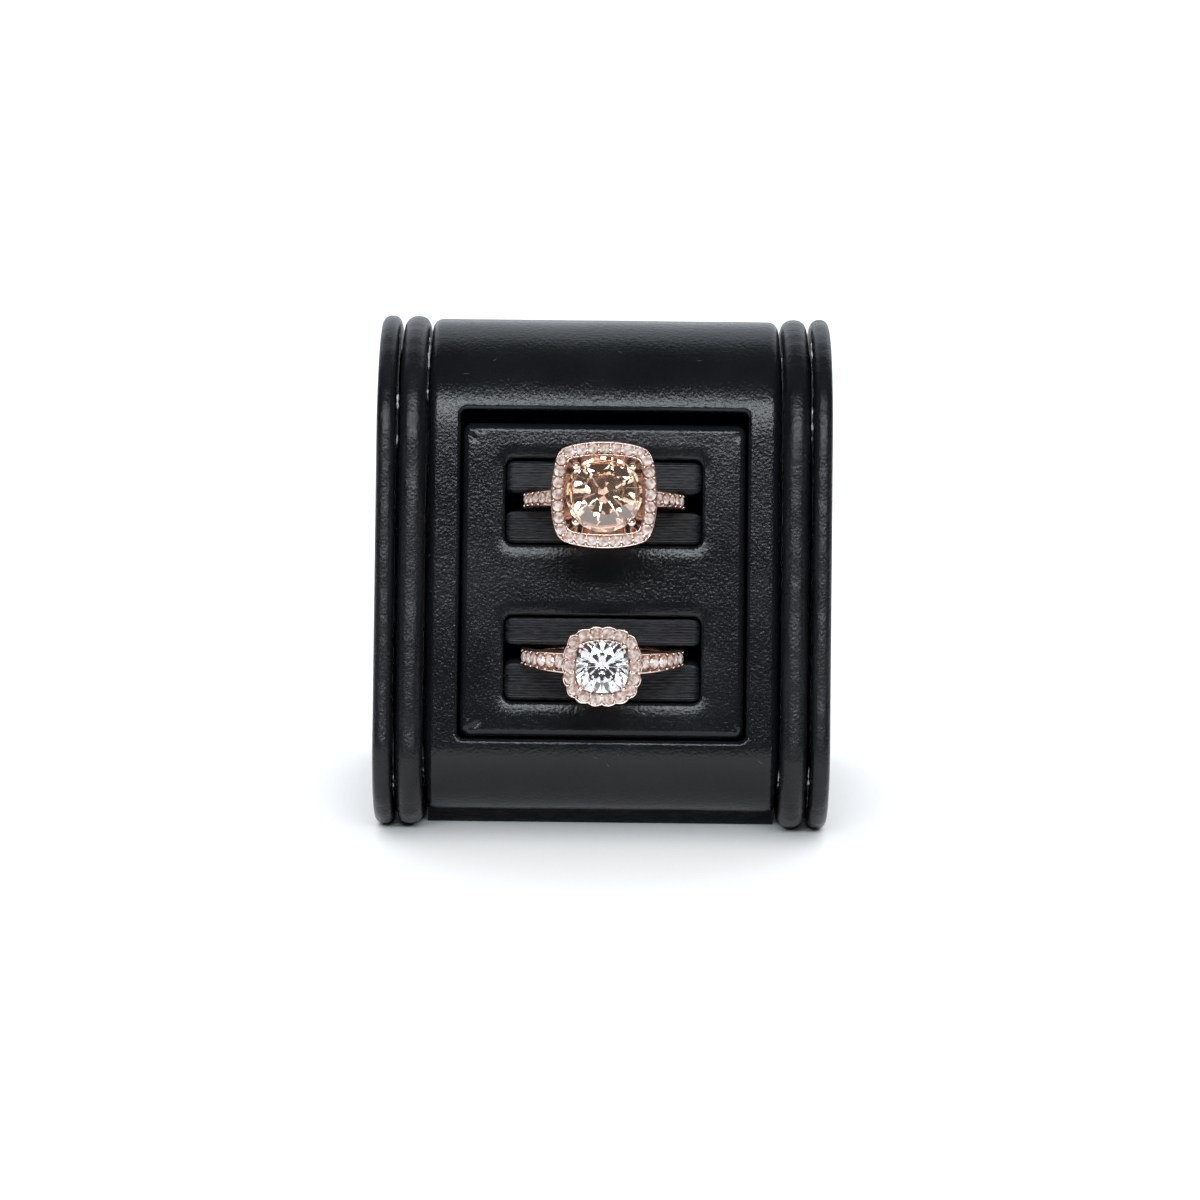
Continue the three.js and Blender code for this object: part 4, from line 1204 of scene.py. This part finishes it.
def brilliant(table, crown, girdle, pavilion, power=2.0):
    """Corners and facets of a brilliant of half width 1, its lower girdle at z = 0."""
    slope = crown / (1 - table)
    half_way = (1 + table) / 2 + 0.03
    star_z = girdle + crown - (half_way * np.cos(np.pi / 8) - table) * slope
    low = 0.24
    low_z = -pavilion * (1 - low * np.cos(np.pi / 8))
    corners = [
        stone_ring(8, 0, table, girdle + crown, 1 + power / 2),
        stone_ring(8, 0.5, half_way, star_z, power),
        stone_ring(16, 0, 1, girdle, power),
        stone_ring(16, 0, 1, 0, power),
        stone_ring(8, 0.5, low, low_z, power),
        [[0, 0, -pavilion]],
    ]
    first = np.cumsum([0] + [len(ring) for ring in corners])
    k, j = np.arange(8), np.arange(16)

    def corner(ring, i):
        """Numbers of a ring's corners i, counted round and round."""
        return first[ring] + i % len(corners[ring])

    TABLE, MIDDLE, UPPER, LOWER, LOW, POINT = range(6)
    facets = [
        [corner(TABLE, k), corner(MIDDLE, k), corner(TABLE, k + 1)],
        [corner(TABLE, k), corner(MIDDLE, k - 1), corner(UPPER, 2 * k), corner(MIDDLE, k)],
        [corner(MIDDLE, k), corner(UPPER, 2 * k), corner(UPPER, 2 * k + 1)],
        [corner(MIDDLE, k), corner(UPPER, 2 * k + 1), corner(UPPER, 2 * k + 2)],
        [corner(UPPER, j), corner(LOWER, j), corner(LOWER, j + 1), corner(UPPER, j + 1)],
        [corner(LOWER, 2 * k), corner(LOW, k - 1), corner(POINT, 0 * k), corner(LOW, k)],
        [corner(LOWER, 2 * k), corner(LOW, k), corner(LOWER, 2 * k + 1)],
        [corner(LOWER, 2 * k + 1), corner(LOW, k), corner(LOWER, 2 * k + 2)],
    ]
    faces = [corner(TABLE, k).tolist()]
    for facet in facets:
        faces += np.stack(facet, -1).tolist()
    return np.concatenate(corners), faces


def small_brilliant(table=0.6, crown=0.3, girdle=0.06, pavilion=0.8):
    """The same with eight sides and no stars, for stones of a millimetre."""
    corners = [
        stone_ring(8, 0.5, table, girdle + crown),
        stone_ring(8, 0, 1, girdle),
        stone_ring(8, 0, 1, 0),
        [[0, 0, -pavilion]],
    ]
    k = np.arange(8)
    after = (k + 1) % 8
    facets = [
        [k, 8 + k, 8 + after],
        [k, 8 + after, after],
        [8 + k, 16 + k, 16 + after, 8 + after],
        [16 + k, 24 + 0 * k, 16 + after],
    ]
    faces = [k.tolist()] + [row for facet in facets for row in np.stack(facet, -1).tolist()]
    return np.concatenate(corners), faces


print("facets of a small stone:", len(small_brilliant()[1]))

# %% Placing pieces in a ring


def in_ring(name, points):
    """Points given in a ring's own frame (across, along the finger, out of the head)."""
    ring = RINGS[name]
    return ring["centre"] + points @ ring["axes"]


def facet_piece(name, points, faces, material):
    """A flat-sided piece from corners and facets."""
    mesh = bpy.data.meshes.new(name)
    mesh.from_pydata(points.tolist(), [], faces)
    mesh.materials.append(material)
    piece = bpy.data.objects.new(name, mesh)
    bpy.context.scene.collection.objects.link(piece)
    return piece


def many(template, origins, frames, sizes):
    """Copies of a template (corners, faces), each at an origin, along three directions (rows of a
    frame) and at a size, as one set of corners and faces."""
    corners, faces = template
    sizes = np.broadcast_to(sizes, len(origins))
    placed = np.einsum("vi,nij->nvj", corners, frames) * sizes[:, None, None] + origins[:, None]
    copies = [[i + c * len(corners) for i in face] for c in range(len(origins)) for face in faces]
    return placed.reshape(-1, 3), copies


def belongs(piece, name, slot_name, *parts):
    """The piece stands for a ring's parts, which it hides, and rides with that ring.
    slot_name is not used.
    """
    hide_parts(*(f"{name}_ring_{part}" for part in parts))
    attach(piece, f"{name}_ring")


print("placing helpers ready")

# %% Centre stones
STONES = {
    "upper": {"power": 2.0, "table": 0.56, "deep": 4.0 * MM, "turn": np.pi / 16},
    "lower": {"power": 3.4, "table": 0.6, "deep": 2.9 * MM, "turn": 0},
}
STONES["upper"].update(finish=champagne, slot="champagne_stone")
STONES["lower"].update(finish=clear, slot="clear_stone")
GIRDLE = 0.24 * MM
for name, cut in STONES.items():
    ring, part = RINGS[name], f"{name}_ring_centre_stone"
    out = ring["axes"][2]
    low, high = np.array(reach(part, out)) - ring["centre"] @ out
    half = reach(part, ACROSS)[1]
    deep, turn = cut["deep"], cut["turn"]
    ring.update(half=half, girdle=low + deep, stone_top=high)
    crown = high - ring["girdle"] - GIRDLE
    corners, faces = brilliant(cut["table"], crown / half, GIRDLE / half, deep / half, cut["power"])
    spin = np.array([[np.cos(turn), np.sin(turn), 0], [-np.sin(turn), np.cos(turn), 0], [0, 0, 1]])
    placed = in_ring(name, corners @ spin * half + [0, 0, ring["girdle"]])
    stone = facet_piece(f"{name}_centre_stone", placed, faces, cut["finish"])
    belongs(stone, name, cut["slot"], "centre_stone")
    print(name, "stone", round(2 * half / MM, 2), "mm,", len(faces), "facets")

# %% [markdown]
# ## Halo, band and claws
#
# The halo is a cushion-shaped frame. Its section is carried round loops that pass from the shape
# of the opening, nearly square, to that of the outside, which is rounder: a bright inner rim, a
# sunk channel for the stones, and a bright outer rim. Beads of metal are raised between the stones
# and hold their edges. A shelf of gold runs inside the opening, under the stone's edge. The band is
# a section turned round the finger that widens towards the head; its shoulders are channelled for
# stones too. The claws are tapered wires that lean out from the band to the stone's corners and
# bend over them to a round tip.

# %% Halo shapes
HALOS = {
    "upper": {"opening": 4.8, "outer": 6.5, "bows": (4.0, 1.6), "shelf": 0.45},
    "lower": {"opening": 3.1, "outer": 4.85, "bows": (1.2, 0.75), "shelf": 0.25},
}
HALOS["upper"].update(count=28, stone=0.68)
HALOS["lower"].update(count=18, stone=0.78)


def even_loop(half, bow, count, fine=4000):
    """A bowed cushion as count places at equal distances along it, and that distance."""
    angle = np.linspace(0, 2 * np.pi, fine + 1)
    r = half * bowed_factor(angle, bow)
    path = np.stack([r * np.cos(angle), r * np.sin(angle)], -1)
    gone = np.concatenate([[0], np.cumsum(np.linalg.norm(np.diff(path, axis=0), axis=1))])
    at_angle = np.interp(np.arange(count) / count * gone[-1], gone, angle)
    r = half * bowed_factor(at_angle, bow)
    return np.stack([r * np.cos(at_angle), r * np.sin(at_angle)], -1), gone[-1] / count


def lathe_cushion(name, halo, section, scallop=0.0, count=336):
    """Rows of a frame from its section (share from opening to outside, height)."""
    rows = []
    for share, z in section:
        half = (halo["opening"] + share * (halo["outer"] - halo["opening"])) * MM
        bow = halo["bows"][0] + share * (halo["bows"][1] - halo["bows"][0])
        loop = even_loop(half, bow, count)[0]
        if scallop:
            bump = np.abs(np.cos(np.arange(count) / count * halo["count"] * np.pi))
            loop = loop * (1 + scallop * share**3 * (bump - 0.6))[:, None]
        rows.append(np.concatenate([loop, np.full((count, 1), z * MM)], -1))
    return in_ring(name, np.stack(rows))


def bead_template(rings=5, sides=8):
    """A small ball of four-cornered faces with closed poles."""
    u = np.linspace(0, np.pi, rings + 1)[1:-1, None]
    v = np.arange(sides) * 2 * np.pi / sides
    ball = np.stack([np.sin(u) * np.cos(v), np.sin(u) * np.sin(v), np.cos(u) + 0 * v], -1)
    points = np.concatenate([[[0, 0, 1.0]], ball.reshape(-1, 3), [[0, 0, -1.0]]])
    around = np.arange(sides)
    after = (around + 1) % sides
    last = 1 + (rings - 2) * sides
    faces = np.stack([0 * around, 1 + around, 1 + after], -1).tolist()
    for row in range(rings - 2):
        a = 1 + row * sides
        beyond = a + sides
        faces += np.stack([a + around, beyond + around, beyond + after, a + after], -1).tolist()
    faces += np.stack([last + around, 0 * around + len(points) - 1, last + after], -1).tolist()
    return points, faces


def add_beads(piece, name, spots, frames, size):
    """Beads of gold at places in a ring's frame, joined into one object with the piece."""
    corners, faces = many(BEAD, spots, frames, size)
    beads = facet_piece(f"{piece.name}_beads", in_ring(name, corners), faces, rose_gold)
    beads.data.polygons.foreach_set("use_smooth", np.full(len(faces), True))
    with bpy.context.temp_override(
        active_object=piece, selected_editable_objects=[piece, beads], object=piece
    ):
        bpy.ops.object.join()


def flat_tube(name, path, normal, radius, sides=10, closed=False):
    """A wire along a path that lies in a plane with that normal, in the ring's frame. An open wire
    ends in points that its radius closes."""
    step = np.roll(path, -1, 0) - np.roll(path, 1, 0) if closed else np.gradient(path, axis=0)
    step = step / np.linalg.norm(step, axis=1)[:, None]
    side = np.cross(step, normal)
    angle = np.arange(sides) * 2 * np.pi / sides
    spokes = np.cos(angle)[:, None] * np.asarray(normal, float)
    spokes = spokes + np.sin(angle)[:, None] * side[:, None]
    grid = path[:, None] + np.broadcast_to(radius, len(path))[:, None, None] * spokes
    if closed:
        grid = np.concatenate([grid, grid[:1]])
    return in_ring(name, grid), True


BEAD = bead_template()
print("faces of a bead:", len(BEAD[1]))

# %% Halos and their stones
for name, halo in HALOS.items():
    ring = RINGS[name]
    top = (reach(f"{name}_ring_halo", ring["axes"][2])[1] - ring["centre"] @ ring["axes"][2]) / MM
    rim_in, rim_out, shelf = 0.07, 0.91, -halo["shelf"]
    section = [
        (0.0, top - 1.15), (0.0, top - 0.10), (0.01, top - 0.03), (0.03, top), (rim_in, top),
        (0.09, top - 0.06), (0.11, top - 0.2), (0.5, top - 0.26), (0.87, top - 0.2),
        (0.89, top - 0.06), (rim_out, top), (0.96, top - 0.01), (0.985, top - 0.06),
        (1.0, top - 0.16), (1.0, top - 0.95), (0.94, top - 1.12), (0.8, top - 1.15),
        (0.4, top - 1.15), (shelf, top - 1.45), (shelf, top - 1.15), (0.0, top - 1.15),
    ]
    frame_rows = lathe_cushion(name, halo, section, 0.05 if name == "lower" else 0.0)
    piece = sheet_mesh(f"{name}_halo", [(frame_rows, True)], rose_gold, recalc=True)
    mid_half = (halo["opening"] + halo["outer"]) / 2 * MM
    twice, step = even_loop(mid_half, sum(halo["bows"]) / 2, 2 * halo["count"])
    run = np.roll(twice, -1, 0) - np.roll(twice, 1, 0)
    run /= np.linalg.norm(run, axis=1)[:, None]
    flat = np.zeros((len(run), 1))
    along = np.concatenate([run, flat], -1)
    outwards = np.concatenate([run[:, 1:], -run[:, :1], flat], -1)
    frames = np.stack([along, -outwards, np.broadcast_to([0, 0, 1.0], along.shape)], 1)
    places = np.concatenate([twice, flat + (top - 0.05) * MM], -1)
    size = halo["stone"] * MM
    corners, faces = many(small_brilliant(), places[::2], frames[::2], size)
    stones = facet_piece(f"{name}_halo_stones", in_ring(name, corners), faces, small_painted_reflection_stone)
    belongs(stones, name, "clear_stone", "halo_stones")
    between, off = places[1::2], outwards[1::2] * 0.5 * MM
    spots = np.concatenate([between + off, between - off])
    add_beads(piece, name, spots, np.concatenate([frames[1::2]] * 2), 0.17 * MM)
    belongs(piece, name, "rose_gold", "halo")
    print(name, "halo:", halo["count"], "stones", round(2 * step / MM, 2), "mm apart")

# %% Bands and shoulder stones
BANDS = {
    "upper": {"shank": 1.75, "shoulder": 2.1, "from": 34, "to": 71, "count": 6, "stone": 0.62},
    "lower": {"shank": 1.8, "shoulder": 2.8, "from": 31, "to": 72, "count": 6, "stone": 0.72},
}
BORE_R = 8.65 * MM
BAND_STEPS = 288

for name, band in BANDS.items():
    ring = RINGS[name]
    outer_r = ring["outer_r"]
    around = np.arange(BAND_STEPS) * 2 * np.pi / BAND_STEPS
    ahead = np.maximum(np.cos(around), 0)
    width = (band["shank"] + (band["shoulder"] - band["shank"]) * ahead) * MM / 2
    degrees_off = np.degrees(np.minimum(around, 2 * np.pi - around))
    rise_from = np.clip((degrees_off - band["from"] + 6) / 3, 0, 1)
    set_part = rise_from * np.clip((band["to"] + 5 - degrees_off) / 3, 0, 1)
    # Section from the bore round the outside: (share of the half width, radius), channel depth.
    thick = outer_r - BORE_R
    section = [
        (-0.8, 0.0, 0), (-0.93, 0.06, 0), (-1.0, 0.2, 0), (-1.0, 0.8, 0), (-0.97, 0.93, 0),
        (-0.88, 0.995, 0), (-0.8, 1.0, 0), (-0.74, 1.0, 0.4), (-0.68, 1.0, 1), (0.0, 1.0, 1),
        (0.68, 1.0, 1), (0.74, 1.0, 0.4), (0.8, 1.0, 0), (0.88, 0.995, 0), (0.97, 0.93, 0),
        (1.0, 0.8, 0), (1.0, 0.2, 0), (0.93, 0.06, 0), (0.8, 0.0, 0), (0.0, -0.02, 0),
        (-0.8, 0.0, 0),
    ]
    rows = []
    for across, out, sunk in section:
        r = BORE_R + thick * out - sunk * set_part * 0.22 * MM
        rows.append(np.stack([r * np.sin(around), across * width, r * np.cos(around)], -1))
    rows = in_ring(name, np.stack(rows))
    piece = sheet_mesh(f"{name}_band", [(rows, True)], rose_gold, recalc=True)
    pitch = math.radians((band["to"] - band["from"]) / (band["count"] - 1))
    bead_sets = []
    for side, sign in (("left", -1), ("right", 1)):
        angle = sign * (math.radians(band["from"]) + pitch * np.arange(-0.5, band["count"], 0.5))
        across = np.stack([np.cos(angle), 0 * angle, -np.sin(angle)], -1)
        out = np.stack([np.sin(angle), 0 * angle, np.cos(angle)], -1)
        frames = np.stack([across, np.broadcast_to([0, 1.0, 0], out.shape), out], 1)
        places = out * (outer_r - 0.05 * MM)
        size = np.linspace(1.06, 0.96, band["count"]) * band["stone"] * MM
        corners, faces = many(small_brilliant(), places[1::2], frames[1::2], size)
        row_name = f"{name}_{side}_shoulder_stones"
        row_piece = facet_piece(row_name, in_ring(name, corners), faces, small_painted_reflection_stone)
        belongs(row_piece, name, "clear_stone", f"{side}_shoulder_stones")
        here = (band["shank"] + (band["shoulder"] - band["shank"]) * np.cos(angle[::2])) * MM / 2
        for edge in (-1, 1):
            spot = places[::2] + np.stack([0 * here, edge * 0.72 * here, 0 * here], -1)
            bead_sets.append((spot + out[::2] * 0.05 * MM, frames[::2]))
    spots, turned = (np.concatenate(group) for group in zip(*bead_sets))
    add_beads(piece, name, spots, turned, 0.16 * MM)
    belongs(piece, name, "rose_gold", "band")
    print(name, "band:", len(piece.data.polygons), "faces")

# %% Claws and rail
CLAWS = {"upper": {"wire": 0.4, "tip": 0.52}, "lower": {"wire": 0.28, "tip": 0.34}}
CLAW_STEPS = 40
CLAW_SPREAD = 1.0 * MM  # how far from the middle a claw leaves the band
TIP_FROM, TIP_CLOSES, TIP_SHARE = 0.86, 0.93, 0.07
RAILS = ((0.42, 0.3), (0.86, 0.26))  # how far up the claws, and half the wire's thickness in mm
RAIL_STEPS = 96


def smooth_path(points, count):
    """A curve through points, eased between them: each coordinate is read by distance, smoothed."""
    points = np.array(points, float)
    gone = np.concatenate([[0], np.cumsum(np.linalg.norm(np.diff(points, axis=0), axis=1))])
    read = np.linspace(0, gone[-1], 8 * count)
    path = np.stack([np.interp(read, gone, points[:, i]) for i in range(points.shape[1])], -1)
    window = np.hanning(2 * count + 1)
    padded_path = np.pad(path, ((count, count), (0, 0)), "reflect", reflect_type="odd")
    window = window / window.sum()
    eased = [np.convolve(padded_path[:, i], window, "valid") for i in range(path.shape[1])]
    return np.stack(eased, -1)[:: 8 * count // count]


for name, claw in CLAWS.items():
    ring = RINGS[name]
    wire, tip = claw["wire"] * MM, claw["tip"] * MM
    power = STONES[name]["power"]
    corner = ring["half"] * outline_factor(np.pi / 4, power)
    crown = ring["stone_top"] - ring["girdle"]
    foot = ring["outer_r"] - 0.05 * MM
    route = [
        (CLAW_SPREAD, foot),
        (CLAW_SPREAD + 0.45 * (corner - CLAW_SPREAD), foot + 0.35 * (ring["girdle"] - foot)),
        (corner + 0.55 * wire, ring["girdle"] - 0.3 * MM),
        (corner + 0.55 * wire, ring["girdle"] + 0.35 * crown),
        (corner - 0.5 * wire, ring["girdle"] + 0.75 * crown),
    ]
    profile = smooth_path(route, CLAW_STEPS)
    share = np.linspace(0, 1, len(profile))
    radius = wire * (1 - 0.12 * share)
    swell = np.clip((share - TIP_FROM) / TIP_SHARE, 0, 1)
    radius = radius + (tip - radius) * swell * swell * (3 - 2 * swell)
    closing = np.clip((share - TIP_CLOSES) / TIP_SHARE, 0, 1)
    radius = radius * np.sqrt(np.clip(1 - closing**2, 0, 1))
    radius[0] = 0
    grids = []
    for angle in np.radians([45, 135, 225, 315]):
        away = np.array([math.cos(angle), math.sin(angle), 0])
        path = profile[:, :1] * away + profile[:, 1:] * [0, 0, 1]
        aside = np.array([-math.sin(angle), math.cos(angle), 0])
        grids.append(flat_tube(name, path, aside, radius, 12))
    for share, thickness in RAILS:
        place = profile[int(share * 0.8 * (len(profile) - 1))]
        loop = even_loop(place[0] * 0.82, 1.0, RAIL_STEPS)[0]
        path = np.concatenate([loop, np.full((RAIL_STEPS, 1), place[1])], -1)
        grids.append(flat_tube(name, path, (0, 0, 1.0), thickness * MM, 10, True))
    piece = sheet_mesh(f"{name}_claws", grids, rose_gold, recalc=True)
    belongs(piece, name, "rose_gold", "gallery")
    print(name, "claws:", len(piece.data.polygons), "faces")


# %% [markdown]
# ## Floor
#
# A plain pale floor, wide enough to fill the view behind the stand.

# %% Floor
floor_material, floor_tree, floor_shader = new_material("pale floor", Roughness=0.6)
floor_places = node(floor_tree, "ShaderNodeTexCoord").outputs["Object"]
floor_cloud = noise(floor_tree, floor_places, 6.0)
floor_colour = mixed(floor_tree, floor_cloud, (0.86, 0.86, 0.86, 1), (0.9, 0.9, 0.9, 1))
floor_tree.links.new(floor_colour, floor_shader.inputs["Base Color"])
FLOOR_HALF = 25  # metres
floor_x = np.linspace(-FLOOR_HALF, FLOOR_HALF, 3)
floor_grid = np.stack(np.meshgrid(floor_x, floor_x, [cad_low.z]), -1).reshape(3, 3, 3)
floor = sheet_mesh("floor", [(floor_grid, False)], floor_material)
print("floor", 2 * FLOOR_HALF, "m wide")
